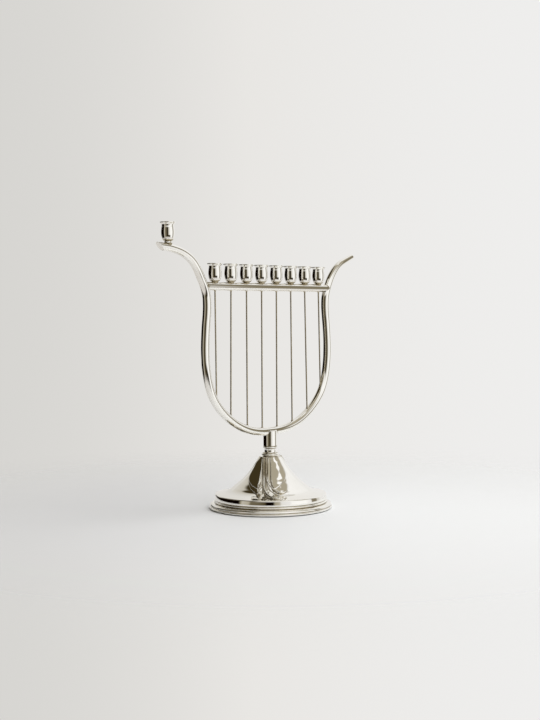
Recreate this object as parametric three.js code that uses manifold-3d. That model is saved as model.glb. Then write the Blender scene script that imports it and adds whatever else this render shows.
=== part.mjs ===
// Harp-shaped Hanukkah menorah: a bent rod harp with eight strings and eight candle cups on its
// crossbar, a ninth raised cup on the longer arm, and a stepped trumpet foot with leaves.
// Millimetres, +Z up. The origin is the centre of the foot on the table. The harp lies in the
// XZ plane, the raised cup is on the -X side, and the front is -Y.
import * as THREE from 'three';
import { mergeVertices } from 'three/addons/utils/BufferGeometryUtils.js';
import Module from 'manifold-3d';

const wasm = await Module();
wasm.setup();

// Fits
const CLEARANCE = 0.3;
const CUT_OVERRUN = 2;

// Foot, spun from sheet
const FOOT_RADIUS = 60.1;
const FOOT_WALL = 1.1;
const FOOT_LIFT = 0.4;
const ROLL_TOP = 2.8;
const STEP_RADIUS = 59.4;
const STEP_TOP = 5.9;
const TIER_RADIUS = 54.6;
const TIER_BEAD = 0.8;
const TIER_WALL_FOOT = 8.7;
const TIER_TOP = 14.6;
const GROOVE_DEPTH = 0.8;
const EDGE_ROUND = 0.6;
const TRUMPET_TOP_RADIUS = 10.5;
const TRUMPET_TOP = 50.4;
// Down the trumpet from its top: share of the height, share of the radius gained.
const TRUMPET_SHARES = [
  [0, 0], [0.15, 0.084], [0.275, 0.15], [0.373, 0.21], [0.485, 0.283], [0.597, 0.37],
  [0.709, 0.478], [0.821, 0.59], [0.927, 0.714], [0.972, 0.85], [1, 1],
];

// Underside
const FELT_THICKNESS = 1.2;
const PLATE_THICKNESS = 1.2;

// Tie rod that clamps foot, collar, ferrule and stem
const TIE_RADIUS = 2;
const TIE_GRIP_IN_STEM = 7;
const TIE_STEM_TIP = 1.5;
const TIE_TAIL = 2.5;
const WASHER_RADIUS = 5.6;
const WASHER_THICKNESS = 0.8;
const NUT_ACROSS_FLATS = 7;
const NUT_HEIGHT = 3.2;

// Turned stack under the harp
const COLLAR_RADIUS = 8.6;
const COLLAR_HEIGHT = 3.5;
const COLLAR_END_RADIUS = 7.2;
const FERRULE_HEIGHT = 6.3;
const FERRULE_END_RADIUS = 6.3;
const FERRULE_WAIST_RADIUS = 5.7;
const FERRULE_BEAD_RADIUS = 6.9;
const FERRULE_BEAD_HEIGHT = 1.9;
const STEM_RADIUS = 6.7;

// Harp frame, one bent rod
const ROD_RADIUS = 4;
const HARP_HALF_WIDTH = 86.9;
const HARP_FLOOR = 75;
const BAR_HEIGHT = 215.1;
const STEM_SADDLE_DEPTH = 4.4;
const LEFT_ARM_REACH = 141.4;
const LEFT_ARM_RISE = 34.7;
const LEFT_TIP_RADIUS = 3.5;
const LEFT_TIP_SLANT = 4.2;
const RIGHT_ARM_REACH = 128.5;
const RIGHT_ARM_RISE = 33.7;
const RIGHT_ROOT_RADIUS = 4;
const RIGHT_TIP_RADIUS = 2.6;
// Half of the lower harp from its lowest point to the bar: share of the half width, share of the
// height from the lowest point to the bar.
const HARP_SHARES = [
  [0, 0], [0.173, 0.004], [0.345, 0.023], [0.512, 0.061], [0.671, 0.12], [0.797, 0.187],
  [0.895, 0.265], [0.957, 0.36], [0.992, 0.475], [1, 0.58], [0.987, 0.72], [0.969, 0.82],
  [0.965, 0.88], [0.974, 0.94], [1.006, 1],
];
// Arms above the bar: share of the reach beyond the bar's end, share of the rise.
const LEFT_ARM_SHARES = [
  [0.08, 0.23], [0.145, 0.41], [0.23, 0.59], [0.33, 0.73], [0.5, 0.868], [0.75, 0.966], [1, 1],
];
const RIGHT_ARM_SHARES = [
  [0.05, 0.13], [0.155, 0.35], [0.34, 0.61], [0.49, 0.74], [0.72, 0.865], [0.93, 0.968], [1, 1],
];

// Crossbar and strings
const BAR_RADIUS = 3.95;
const STRING_COUNT = 8;
const STRING_PITCH = 21;
const STRING_RADIUS = 0.7;
const STRING_SEAT = 1.5;
// Sideways lean of each string from the bar to the harp, as a share of the pitch.
const STRING_LEAN_SHARES = [0.03, -0.08, -0.03, -0.04, -0.03, 0.04, 0.11, 0.1];

// Candle cups
const CUP_HEIGHT = 17.4;
const CUP_RIM_RADIUS = 7.15;
const CUP_LIP_HEIGHT = 1.2;
const CUP_NECK_RADIUS = 5.55;
const CUP_BELLY_RADIUS = 6.1;
const CUP_FOOT_RADIUS = 3;
const CUP_FOOT_HEIGHT = 0.5;
const CUP_BORE_RADIUS = 4.9;
const CUP_LIP_WALL = 0.7;
const CUP_FLOOR = 3.2;
const PEG_RADIUS = 1.25;
const PEG_LENGTH = 3;
const SHAMASH_INSET = 9.9;
const STAND_HEIGHT = 1.5;
const STAND_RADIUS = 3.4;

// Leaf spray on the trumpet
const SPRAY_COUNT = 2;
const SPRAY_DEGREES = -54;
const LEAF_TOP_DROP = 0.6;
const LEAF_HALF_WIDTH = 7.5;
const LEAF_FOOT = 21.4;
const LEAF_EDGE = 3;
const LEAF_BULGE = 1.2;
const UNDERLEAF_HALF_WIDTH = 8.7;
const RIGHT_UNDERLEAF_FOOT = 18.8;
const LEFT_UNDERLEAF_FOOT = 17.9;
const UNDERLEAF_EDGE = 1;
const UNDERLEAF_BULGE = 0.9;
const TENDRIL_ROOT_RADIUS = 1.5;
const TENDRIL_TIP_RADIUS = 0.7;
const TENDRIL_LIFT = 3.2;
const STRAND_ROOT_RADIUS = 1.4;
const STRAND_TIP_RADIUS = 0.55;
const TWIG_RADIUS = 0.6;
const LEAF_SWING_DEGREES = 30;
const TENDRIL_SWING_DEGREES = 20;
// Down a leaf: share of its length, share of its widest half width.
const RIGHT_LEAF_WIDTH_SHARES = [
  [0, 0.56], [0.155, 0.68], [0.355, 0.85], [0.44, 0.93], [0.6, 1], [0.715, 0.94], [0.82, 0.79],
  [0.91, 0.5], [1, 0.12],
];
const LEFT_LEAF_WIDTH_SHARES = [
  [0, 0.4], [0.155, 0.49], [0.355, 0.63], [0.54, 0.83], [0.665, 0.95], [0.76, 0.965],
  [0.84, 0.87], [0.92, 0.67], [1, 0.2],
];
const RIGHT_UNDERLEAF_WIDTH_SHARES = [
  [0, 0.39], [0.14, 0.48], [0.325, 0.61], [0.44, 0.78], [0.51, 0.925], [0.625, 1], [0.733, 0.99],
  [0.86, 0.885], [0.947, 0.7], [0.985, 0.43], [1, 0.16],
];
const LEFT_UNDERLEAF_WIDTH_SHARES = [
  [0, 0.26], [0.14, 0.35], [0.315, 0.49], [0.48, 0.7], [0.56, 0.91], [0.665, 0.93], [0.763, 0.87],
  [0.86, 0.75], [0.927, 0.58], [0.982, 0.36], [1, 0.17],
];
// Down a leaf: share of its length, share of its full thickness.
const LEAF_THICKNESS_SHARES = [[0, 0.3], [0.2, 0.7], [0.45, 1], [0.8, 1], [1, 0.75]];
// Down a leaf: share of its length, share of the leaf's swing from the spray's middle.
const RIGHT_LEAF_SWING_SHARES = [
  [0, 0.94], [0.155, 0.9], [0.44, 0.9], [0.54, 0.86], [0.6, 0.83], [0.715, 0.73], [0.82, 0.62],
  [0.91, 0.51], [1, 0.42],
];
const LEFT_LEAF_SWING_SHARES = [
  [0, 1.58], [0.155, 1.24], [0.355, 1.03], [0.54, 0.93], [0.665, 0.86], [0.76, 0.77],
  [0.84, 0.63], [0.92, 0.5], [1, 0.37],
];
const RIGHT_UNDERLEAF_SWING_SHARES = [
  [0, 0.93], [0.14, 0.9], [0.325, 0.89], [0.44, 0.93], [0.51, 0.99], [0.625, 0.96], [0.733, 0.88],
  [0.86, 0.8], [0.947, 0.75], [1, 0.7],
];
const LEFT_UNDERLEAF_SWING_SHARES = [
  [0, 1.53], [0.14, 1.18], [0.315, 1], [0.48, 0.93], [0.56, 0.98], [0.665, 0.85], [0.763, 0.69],
  [0.86, 0.53], [0.927, 0.4], [1, 0.29],
];
// Down a strand: share of the trumpet's height from its top, share of the tendril's swing.
const TENDRIL_SWING_SHARES = [
  [0.03, -1.12], [0.151, -0.8], [0.31, -0.572], [0.462, -0.412], [0.589, -0.305],
  [0.706, -0.229], [0.814, -0.118], [0.892, 0.056], [0.94, 0.22], [0.966, 0.4], [0.979, 0.6],
  [0.985, 0.84],
];
const STRAND_SWING_SHARES = [
  [0.03, -0.62], [0.174, -0.37], [0.36, -0.188], [0.511, -0.133], [0.625, 0.029],
  [0.716, 0.225], [0.781, 0.418], [0.83, 0.639], [0.863, 0.869], [0.877, 0.999],
];
const TWIG_SWING_SHARES = [[0.792, 0.196], [0.842, 0.12], [0.882, 0.061]];
// Down a strand: share of the trumpet's height from its top, share of the full lift.
const TENDRIL_LIFT_SHARES = [
  [0.03, 0.58], [0.165, 0.8], [0.313, 0.95], [0.553, 1], [0.668, 1], [0.782, 0.9],
  [0.869, 0.7], [0.922, 0.5], [0.985, 0.36],
];
// Along a strand: share of its run, share of the way from root to tip radius.
const TENDRIL_TAPER_SHARES = [[0, 0], [0.4, 0.4], [0.75, 0.6], [1, 1]];
const STRAND_TAPER_SHARES = [[0, 0], [0.25, 0.2], [0.36, 0.75], [0.5, 1], [1, 1]];

// Facets
const FOOT_SIDES = 36;
const TURNED_SIDES = 24;
const CUP_SIDES = 16;
const ROD_SIDES = 12;
const HARP_STEPS = 66;
const WIRE_SIDES = 8;
const TENDRIL_SIDES = 6;
const TENDRIL_STEPS = 18;
const TENDRIL_TIP_CROWDING = 1.8;
const LEAF_STEPS = 9;
const LEAF_STRIPS = 6;
const SEARCH_STEPS = 400;

const silver = () => new THREE.MeshStandardMaterial({ color: 0xd9d6cc, roughness: 0.12, metalness: 1 });
const steel = () => new THREE.MeshStandardMaterial({ color: 0x9a9a98, roughness: 0.4, metalness: 1 });
const felt = () => new THREE.MeshStandardMaterial({ color: 0x26302a, roughness: 0.95, metalness: 0 });

const menorah = new THREE.Group();

function addPiece(name, geometry, material, position = [0, 0, 0]) {
  const mesh = new THREE.Mesh(geometry, material);
  mesh.name = name;
  mesh.position.set(...position);
  menorah.add(mesh);
  return mesh;
}

// A smooth curve through [share, value] pairs, read as value at share.
function readShares(shares, share) {
  const last = shares.length - 1;
  let k = 0;
  while (k < last - 1 && share > shares[k + 1][0]) k += 1;
  const [a, b] = [shares[k], shares[k + 1]];
  const t = THREE.MathUtils.clamp((share - a[0]) / (b[0] - a[0]), 0, 1);
  const before = shares[Math.max(k - 1, 0)];
  const after = shares[Math.min(k + 2, last)];
  const span = b[0] - a[0];
  const slopeA = (b[1] - before[1]) / (b[0] - before[0]) * span;
  const slopeB = (after[1] - a[1]) / (after[0] - a[0]) * span;
  return (2 * t ** 3 - 3 * t ** 2 + 1) * a[1] + (t ** 3 - 2 * t ** 2 + t) * slopeA
    + (3 * t ** 2 - 2 * t ** 3) * b[1] + (t ** 3 - t ** 2) * slopeB;
}

// Turned piece round the Z axis from [radius, height] points. An open profile starts and ends on
// the axis; a ring's profile closes on itself.
function turned(profile, sides) {
  const points = profile.map(([radius, height]) => new THREE.Vector2(radius, height));
  const geometry = new THREE.LatheGeometry(points, sides);
  geometry.rotateX(Math.PI / 2);
  return outward(geometry);
}

function ring(profile, sides) {
  return turned([...profile, profile[0]], sides);
}

function signedVolume(geometry) {
  const solid = geometry.index ? geometry.toNonIndexed() : geometry;
  const place = solid.attributes.position;
  const [a, b, c] = [new THREE.Vector3(), new THREE.Vector3(), new THREE.Vector3()];
  let sum = 0;
  for (let i = 0; i < place.count; i += 3) {
    a.fromBufferAttribute(place, i);
    b.fromBufferAttribute(place, i + 1);
    c.fromBufferAttribute(place, i + 2);
    sum += a.dot(b.cross(c));
  }
  return sum;
}

// The same surface, welded, with its faces pointing out.
function outward(geometry) {
  geometry.deleteAttribute('normal');
  geometry.deleteAttribute('uv');
  const welded = mergeVertices(geometry);
  const corners = Array.from(welded.index.array);
  const kept = [];
  for (let i = 0; i < corners.length; i += 3) {
    const [a, b, c] = corners.slice(i, i + 3);
    if (a !== b && b !== c && c !== a) kept.push(a, b, c);
  }
  if (signedVolume(welded) < 0) kept.reverse();
  welded.setIndex(kept);
  welded.computeVertexNormals();
  return welded;
}

function toSolid(geometry) {
  const mesh = new wasm.Mesh({
    numProp: 3,
    vertProperties: Float32Array.from(geometry.attributes.position.array),
    triVerts: Uint32Array.from(geometry.index.array),
  });
  return new wasm.Manifold(mesh);
}

function toGeometry(solid) {
  const mesh = solid.getMesh();
  const geometry = new THREE.BufferGeometry();
  geometry.setAttribute('position', new THREE.BufferAttribute(mesh.vertProperties, mesh.numProp));
  geometry.setIndex(Array.from(mesh.triVerts));
  geometry.computeVertexNormals();
  return geometry;
}

// A straight round bar between two points.
function pin(from, to, radius, sides) {
  const length = from.distanceTo(to);
  const geometry = new THREE.CylinderGeometry(radius, radius, length, sides);
  const along = to.clone().sub(from).normalize();
  const turn = new THREE.Quaternion().setFromUnitVectors(new THREE.Vector3(0, 1, 0), along);
  geometry.applyQuaternion(turn);
  geometry.translate(...from.clone().add(to).divideScalar(2).toArray());
  return outward(geometry);
}

// A round rod along points, each with its own radius. guide(k) is a direction across the rod at
// point k, and slant pushes one edge of the first ring out and the other in, for an oblique end.
function rod(points, radii, sides, guide, slant = 0) {
  const vertices = [];
  const last = points.length - 1;
  points.forEach((point, k) => {
    const along = points[Math.min(k + 1, last)].clone().sub(points[Math.max(k - 1, 0)]).normalize();
    const across = guide(k).clone().cross(along).normalize();
    const over = along.clone().cross(across).normalize();
    for (let s = 0; s < sides; s += 1) {
      const angle = (s + 0.5) / sides * 2 * Math.PI;
      const corner = point.clone()
        .addScaledVector(across, radii[k] * Math.cos(angle))
        .addScaledVector(over, radii[k] * Math.sin(angle));
      if (k === 0) corner.addScaledVector(along, slant * Math.cos(angle));
      vertices.push(corner);
    }
  });
  const centres = [vertices.push(points[0].clone()) - 1, vertices.push(points[last].clone()) - 1];
  const corners = [];
  for (let s = 0; s < sides; s += 1) {
    const next = (s + 1) % sides;
    for (let k = 0; k < last; k += 1) {
      const [a, b] = [k * sides + s, k * sides + next];
      corners.push(a, b, b + sides, a, b + sides, a + sides);
    }
    corners.push(centres[0], next, s, centres[1], last * sides + s, last * sides + next);
  }
  const geometry = new THREE.BufferGeometry().setFromPoints(vertices);
  geometry.setIndex(corners);
  return outward(geometry);
}

// Foot

const trumpetRadiusGain = TIER_RADIUS - TRUMPET_TOP_RADIUS;
const trumpetHeight = TRUMPET_TOP - TIER_TOP;

function trumpetRadius(down) {
  return TRUMPET_TOP_RADIUS + trumpetRadiusGain * readShares(TRUMPET_SHARES, down);
}

// A point over the trumpet's surface: down is the share of its height from the top.
function overTrumpet(down, degrees, standoff) {
  const step = 1 / SEARCH_STEPS;
  const rise = (trumpetRadius(Math.min(down + step, 1)) - trumpetRadius(Math.max(down - step, 0)))
    / ((Math.min(down + step, 1) - Math.max(down - step, 0)) * trumpetHeight);
  const length = Math.hypot(1, rise);
  const radius = trumpetRadius(down) + standoff / length;
  const angle = THREE.MathUtils.degToRad(degrees);
  return new THREE.Vector3(
    radius * Math.sin(angle),
    -radius * Math.cos(angle),
    TRUMPET_TOP - down * trumpetHeight + standoff * rise / length,
  );
}

const tieBore = TIE_RADIUS + CLEARANCE;

function footProfile() {
  const grooveRadius = TIER_RADIUS - GROOVE_DEPTH;
  const beadMiddle = (TIER_WALL_FOOT + STEP_TOP) / 2;
  const stepGroove = STEP_RADIUS - GROOVE_DEPTH;
  const rollMiddle = (ROLL_TOP + FOOT_LIFT) / 2;
  const outer = [[tieBore, TRUMPET_TOP]];
  const inner = [];
  for (const [down] of TRUMPET_SHARES) {
    const skin = overTrumpet(down, 0, 0);
    outer.push([-skin.y, skin.z]);
    if (down > 0 && down < 1) {
      const lining = overTrumpet(down, 0, -FOOT_WALL);
      inner.unshift([-lining.y, lining.z]);
    }
  }
  inner.push([TRUMPET_TOP_RADIUS - FOOT_WALL / 2, TRUMPET_TOP - FOOT_WALL]);
  outer.push(
    [TIER_RADIUS + EDGE_ROUND / 2, TIER_TOP - EDGE_ROUND],
    [TIER_RADIUS, TIER_WALL_FOOT + EDGE_ROUND],
    [grooveRadius, TIER_WALL_FOOT],
    [TIER_RADIUS + TIER_BEAD / 2, TIER_WALL_FOOT - EDGE_ROUND],
    [TIER_RADIUS + TIER_BEAD, beadMiddle],
    [TIER_RADIUS + TIER_BEAD / 2, STEP_TOP + EDGE_ROUND],
    [TIER_RADIUS, STEP_TOP],
    [(TIER_RADIUS + STEP_RADIUS) / 2, STEP_TOP - EDGE_ROUND / 2],
    [STEP_RADIUS - EDGE_ROUND, (STEP_TOP + ROLL_TOP) / 2 + EDGE_ROUND],
    [STEP_RADIUS, ROLL_TOP + EDGE_ROUND],
    [stepGroove, ROLL_TOP],
    [STEP_RADIUS, ROLL_TOP - EDGE_ROUND / 2],
    [FOOT_RADIUS, rollMiddle],
    [STEP_RADIUS, FOOT_LIFT + EDGE_ROUND / 2],
    [stepGroove, FOOT_LIFT],
  );
  const wellRadius = stepGroove - FOOT_WALL;
  const lining = [
    [wellRadius, FOOT_LIFT],
    [wellRadius, ROLL_TOP + EDGE_ROUND],
    [grooveRadius - FOOT_WALL, STEP_TOP],
    [grooveRadius - FOOT_WALL, TIER_TOP - FOOT_WALL - EDGE_ROUND],
  ];
  return { profile: [...outer, ...lining, ...inner, [tieBore, TRUMPET_TOP - FOOT_WALL]], wellRadius };
}

const foot = footProfile();
addPiece('foot_shell', ring(foot.profile, FOOT_SIDES), silver());

const padRadius = foot.wellRadius - CLEARANCE;
addPiece('felt_pad', turned(
  [[0, 0], [padRadius, 0], [padRadius, FELT_THICKNESS], [0, FELT_THICKNESS]], FOOT_SIDES), felt());
const plateTop = FELT_THICKNESS + PLATE_THICKNESS;
addPiece('bottom_plate', turned(
  [[0, FELT_THICKNESS], [padRadius, FELT_THICKNESS], [padRadius, plateTop], [0, plateTop]],
  FOOT_SIDES), steel());

// Turned stack

const ferruleFoot = TRUMPET_TOP + COLLAR_HEIGHT;
const stemFoot = ferruleFoot + FERRULE_HEIGHT;
const collarMiddle = TRUMPET_TOP + COLLAR_HEIGHT / 2;

addPiece('collar_ring', ring([
  [tieBore, TRUMPET_TOP],
  [COLLAR_END_RADIUS, TRUMPET_TOP],
  [(COLLAR_RADIUS * 2 + COLLAR_END_RADIUS) / 3, TRUMPET_TOP + COLLAR_HEIGHT / 5],
  [COLLAR_RADIUS, collarMiddle],
  [(COLLAR_RADIUS * 2 + COLLAR_END_RADIUS) / 3, ferruleFoot - COLLAR_HEIGHT / 5],
  [COLLAR_END_RADIUS, ferruleFoot],
  [tieBore, ferruleFoot],
], TURNED_SIDES), silver());

const beadFoot = stemFoot - FERRULE_BEAD_HEIGHT;
addPiece('neck_ferrule', ring([
  [tieBore, ferruleFoot],
  [FERRULE_END_RADIUS, ferruleFoot],
  [(FERRULE_END_RADIUS + FERRULE_WAIST_RADIUS) / 2, ferruleFoot + FERRULE_HEIGHT / 12],
  [FERRULE_WAIST_RADIUS, (ferruleFoot * 2 + beadFoot) / 3],
  [FERRULE_WAIST_RADIUS, (ferruleFoot + beadFoot * 2) / 3],
  [FERRULE_END_RADIUS, beadFoot],
  [FERRULE_BEAD_RADIUS, beadFoot + FERRULE_BEAD_HEIGHT / 4],
  [FERRULE_BEAD_RADIUS, stemFoot - FERRULE_BEAD_HEIGHT / 4],
  [FERRULE_END_RADIUS, stemFoot],
  [tieBore, stemFoot],
], TURNED_SIDES), silver());

const tieTop = stemFoot + TIE_GRIP_IN_STEM;
const washerTop = TRUMPET_TOP - FOOT_WALL;
const nutTop = washerTop - WASHER_THICKNESS;
const nutFoot = nutTop - NUT_HEIGHT;
const tieFoot = nutFoot - TIE_TAIL;

addPiece('tie_rod', turned(
  [[0, tieFoot], [TIE_RADIUS, tieFoot], [TIE_RADIUS, tieTop], [0, tieTop]], CUP_SIDES), steel());
addPiece('tie_washer', ring([
  [tieBore, nutTop], [WASHER_RADIUS, nutTop], [WASHER_RADIUS, washerTop], [tieBore, washerTop],
], TURNED_SIDES), steel());

function hexNut() {
  const hexagon = new THREE.Shape();
  const cornerRadius = NUT_ACROSS_FLATS / Math.sqrt(3);
  for (let k = 0; k < 6; k += 1) {
    const angle = k / 6 * 2 * Math.PI;
    hexagon[k ? 'lineTo' : 'moveTo'](cornerRadius * Math.cos(angle), cornerRadius * Math.sin(angle));
  }
  hexagon.closePath();
  const bore = new THREE.Path();
  bore.absarc(0, 0, tieBore, 0, 2 * Math.PI, true);
  hexagon.holes.push(bore);
  const options = { depth: NUT_HEIGHT, bevelEnabled: false, curveSegments: CUP_SIDES / 2 };
  return outward(new THREE.ExtrudeGeometry(hexagon, options));
}
addPiece('tie_nut', hexNut(), steel(), [0, 0, nutFoot]);

// Harp frame

const harpHeight = BAR_HEIGHT - HARP_FLOOR;

function harpPoint(side, [widthShare, heightShare]) {
  return new THREE.Vector3(
    side * HARP_HALF_WIDTH * widthShare, 0, HARP_FLOOR + harpHeight * heightShare);
}

const barEndOffset = HARP_HALF_WIDTH * HARP_SHARES[HARP_SHARES.length - 1][0];

function armPoint(side, reach, rise, [reachShare, riseShare]) {
  const offset = barEndOffset + (reach - barEndOffset) * reachShare;
  return new THREE.Vector3(side * offset, 0, BAR_HEIGHT + rise * riseShare);
}

const harpCurve = new THREE.CatmullRomCurve3([
  ...LEFT_ARM_SHARES.map((s) => armPoint(-1, LEFT_ARM_REACH, LEFT_ARM_RISE, s)).reverse(),
  ...HARP_SHARES.slice(1).map((s) => harpPoint(-1, s)).reverse(),
  ...HARP_SHARES.map((s) => harpPoint(1, s)),
  ...RIGHT_ARM_SHARES.map((s) => armPoint(1, RIGHT_ARM_REACH, RIGHT_ARM_RISE, s)),
], false, 'centripetal');
harpCurve.arcLengthDivisions = SEARCH_STEPS;

// The rod is of one thickness up to the bar. Above it the arms taper, the right one more.
function harpRadius(point) {
  const beyond = point.z - (BAR_HEIGHT - ROD_RADIUS);
  if (beyond <= 0) return ROD_RADIUS;
  const rooted = Math.min(beyond / (2 * ROD_RADIUS), 1);
  const left = point.x < 0;
  const reach = left ? LEFT_ARM_REACH : RIGHT_ARM_REACH;
  const root = left ? ROD_RADIUS : RIGHT_ROOT_RADIUS;
  const tip = left ? LEFT_TIP_RADIUS : RIGHT_TIP_RADIUS;
  const out = THREE.MathUtils.clamp((Math.abs(point.x) - barEndOffset) / (reach - barEndOffset), 0, 1);
  return THREE.MathUtils.lerp(THREE.MathUtils.lerp(ROD_RADIUS, root, rooted), tip, out);
}

const harpPoints = harpCurve.getSpacedPoints(HARP_STEPS);
const towardBack = new THREE.Vector3(0, 1, 0);

function harpRod(grow) {
  const radii = harpPoints.map((point) => harpRadius(point) + grow);
  return rod(harpPoints, radii, ROD_SIDES, () => towardBack, LEFT_TIP_SLANT);
}

// The point on the inner side of the harp's lower half that lies at a given offset from the middle.
function harpInnerPoint(x) {
  let best = null;
  for (let k = 0; k <= SEARCH_STEPS; k += 1) {
    const point = harpCurve.getPointAt(k / SEARCH_STEPS);
    const along = harpCurve.getTangentAt(k / SEARCH_STEPS);
    const inward = new THREE.Vector3(-along.z, 0, along.x).multiplyScalar(ROD_RADIUS);
    const edge = point.clone().add(inward);
    const low = edge.z < (BAR_HEIGHT + HARP_FLOOR) / 2;
    if (low && (!best || Math.abs(edge.x - x) < Math.abs(best.x - x))) best = edge;
  }
  return best;
}

const stringOffsets = Array.from(
  { length: STRING_COUNT }, (_, k) => (k - (STRING_COUNT - 1) / 2) * STRING_PITCH);

// Each string runs from its hole in the bar's underside to its hole in the harp.
const stringEnds = stringOffsets.map((x, k) => {
  const footX = x + STRING_LEAN_SHARES[k % STRING_LEAN_SHARES.length] * STRING_PITCH;
  const top = new THREE.Vector3(x, 0, BAR_HEIGHT - BAR_RADIUS + STRING_SEAT);
  const landing = harpInnerPoint(footX);
  const down = landing.clone().sub(top).normalize();
  return { top, foot: landing.addScaledVector(down, STRING_SEAT), down };
});

function stringHole({ top, foot: end, down }) {
  return toSolid(pin(top.clone().addScaledVector(down, -CLEARANCE),
    end.clone().addScaledVector(down, CLEARANCE), STRING_RADIUS + CLEARANCE, WIRE_SIDES));
}
const stringHoles = stringEnds.map(stringHole);

const barAxis = [
  new THREE.Vector3(-barEndOffset, 0, BAR_HEIGHT), new THREE.Vector3(barEndOffset, 0, BAR_HEIGHT)];
const pegTop = BAR_HEIGHT + BAR_RADIUS;

function pegHole(x, top, length) {
  return toSolid(pin(new THREE.Vector3(x, 0, top + CUT_OVERRUN),
    new THREE.Vector3(x, 0, top - length - CLEARANCE), PEG_RADIUS + CLEARANCE, WIRE_SIDES));
}

// Raised cup's seat on the left arm
const shamashX = SHAMASH_INSET - LEFT_ARM_REACH;
const armSpot = harpPoints.reduce((a, b) =>
  (Math.abs(b.x - shamashX) < Math.abs(a.x - shamashX) ? b : a));
const armTop = armSpot.z + harpRadius(armSpot);
const shamashSeat = armTop + STAND_HEIGHT;
const shamashPegLength = STAND_HEIGHT + PEG_LENGTH;

let harpSolid = toSolid(harpRod(0));
for (const hole of stringHoles) harpSolid = harpSolid.subtract(hole);
harpSolid = harpSolid.subtract(pegHole(shamashX, shamashSeat, shamashPegLength));
addPiece('harp_frame', toGeometry(harpSolid), silver());

const harpRoom = toSolid(harpRod(CLEARANCE));

let barSolid = toSolid(pin(...barAxis, BAR_RADIUS, ROD_SIDES)).subtract(harpRoom);
for (const hole of stringHoles) barSolid = barSolid.subtract(hole);
for (const x of stringOffsets) barSolid = barSolid.subtract(pegHole(x, pegTop, PEG_LENGTH));
addPiece('crossbar', toGeometry(barSolid), silver());

stringEnds.forEach(({ top, foot: end }, k) => {
  addPiece(`string_${k + 1}`, pin(top, end, STRING_RADIUS, WIRE_SIDES), silver());
});

// Stem

const stemTop = HARP_FLOOR - ROD_RADIUS + STEM_SADDLE_DEPTH;
const stemBlank = turned([
  [0, tieTop + TIE_STEM_TIP], [tieBore, tieTop + CLEARANCE], [tieBore, stemFoot],
  [STEM_RADIUS, stemFoot], [STEM_RADIUS, stemTop], [0, stemTop],
], TURNED_SIDES);
addPiece('stem', toGeometry(toSolid(stemBlank).subtract(harpRoom)), silver());

// Candle cups, turned from the foot up; the candle stands on the flat floor of the bore

function cupProfile(footDrop) {
  const lipFoot = CUP_HEIGHT - CUP_LIP_HEIGHT;
  const neckHeight = CUP_HEIGHT - 2 * CUP_LIP_HEIGHT;
  const bellyHeight = CUP_HEIGHT / 2;
  const rimBore = CUP_RIM_RADIUS - CUP_LIP_WALL;
  return [
    [0, -footDrop],
    [CUP_FOOT_RADIUS, -footDrop],
    [CUP_FOOT_RADIUS, CUP_FOOT_HEIGHT],
    [(CUP_FOOT_RADIUS + CUP_BELLY_RADIUS) / 2, CUP_FOOT_HEIGHT * 1.7],
    [CUP_BELLY_RADIUS * 0.92, CUP_FLOOR * 1.3],
    [CUP_BELLY_RADIUS, bellyHeight],
    [(CUP_BELLY_RADIUS + CUP_NECK_RADIUS) / 2, (bellyHeight + neckHeight) / 2],
    [CUP_NECK_RADIUS, neckHeight],
    [(CUP_NECK_RADIUS + CUP_RIM_RADIUS) / 2, lipFoot],
    [CUP_RIM_RADIUS, CUP_HEIGHT - CUP_LIP_HEIGHT / 2],
    [CUP_RIM_RADIUS, CUP_HEIGHT],
    [rimBore, CUP_HEIGHT],
    [(rimBore + CUP_BORE_RADIUS) / 2, lipFoot],
    [CUP_BORE_RADIUS, neckHeight - CUP_LIP_HEIGHT / 2],
    [CUP_BORE_RADIUS, CUP_FLOOR],
    [0, CUP_FLOOR],
  ];
}

function peg(length) {
  return toSolid(pin(new THREE.Vector3(0, 0, CUP_FOOT_HEIGHT),
    new THREE.Vector3(0, 0, -length), PEG_RADIUS, WIRE_SIDES));
}

// A bar cup's foot is hollowed to the round bar.
const barRoom = toSolid(pin(new THREE.Vector3(-CUP_RIM_RADIUS, 0, -BAR_RADIUS),
  new THREE.Vector3(CUP_RIM_RADIUS, 0, -BAR_RADIUS), BAR_RADIUS + CLEARANCE, ROD_SIDES * 2));
const barCup = toGeometry(
  toSolid(turned(cupProfile(BAR_RADIUS / 2), CUP_SIDES)).subtract(barRoom).add(peg(PEG_LENGTH)));
stringOffsets.forEach((x, k) => addPiece(`cup_${k + 1}`, barCup, silver(), [x, 0, pegTop]));

const shamashCup = toGeometry(
  toSolid(turned(cupProfile(0), CUP_SIDES)).add(peg(shamashPegLength)));
addPiece('shamash_cup', shamashCup, silver(), [shamashX, 0, shamashSeat]);

const standFoot = armTop - LEFT_TIP_RADIUS / 2;
const stand = toSolid(pin(new THREE.Vector3(shamashX, 0, standFoot),
  new THREE.Vector3(shamashX, 0, shamashSeat), STAND_RADIUS, CUP_SIDES))
  .subtract(harpRoom)
  .subtract(pegHole(shamashX, shamashSeat, shamashPegLength));
addPiece('shamash_stand', toGeometry(stand), silver());

// Leaf sprays

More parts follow.
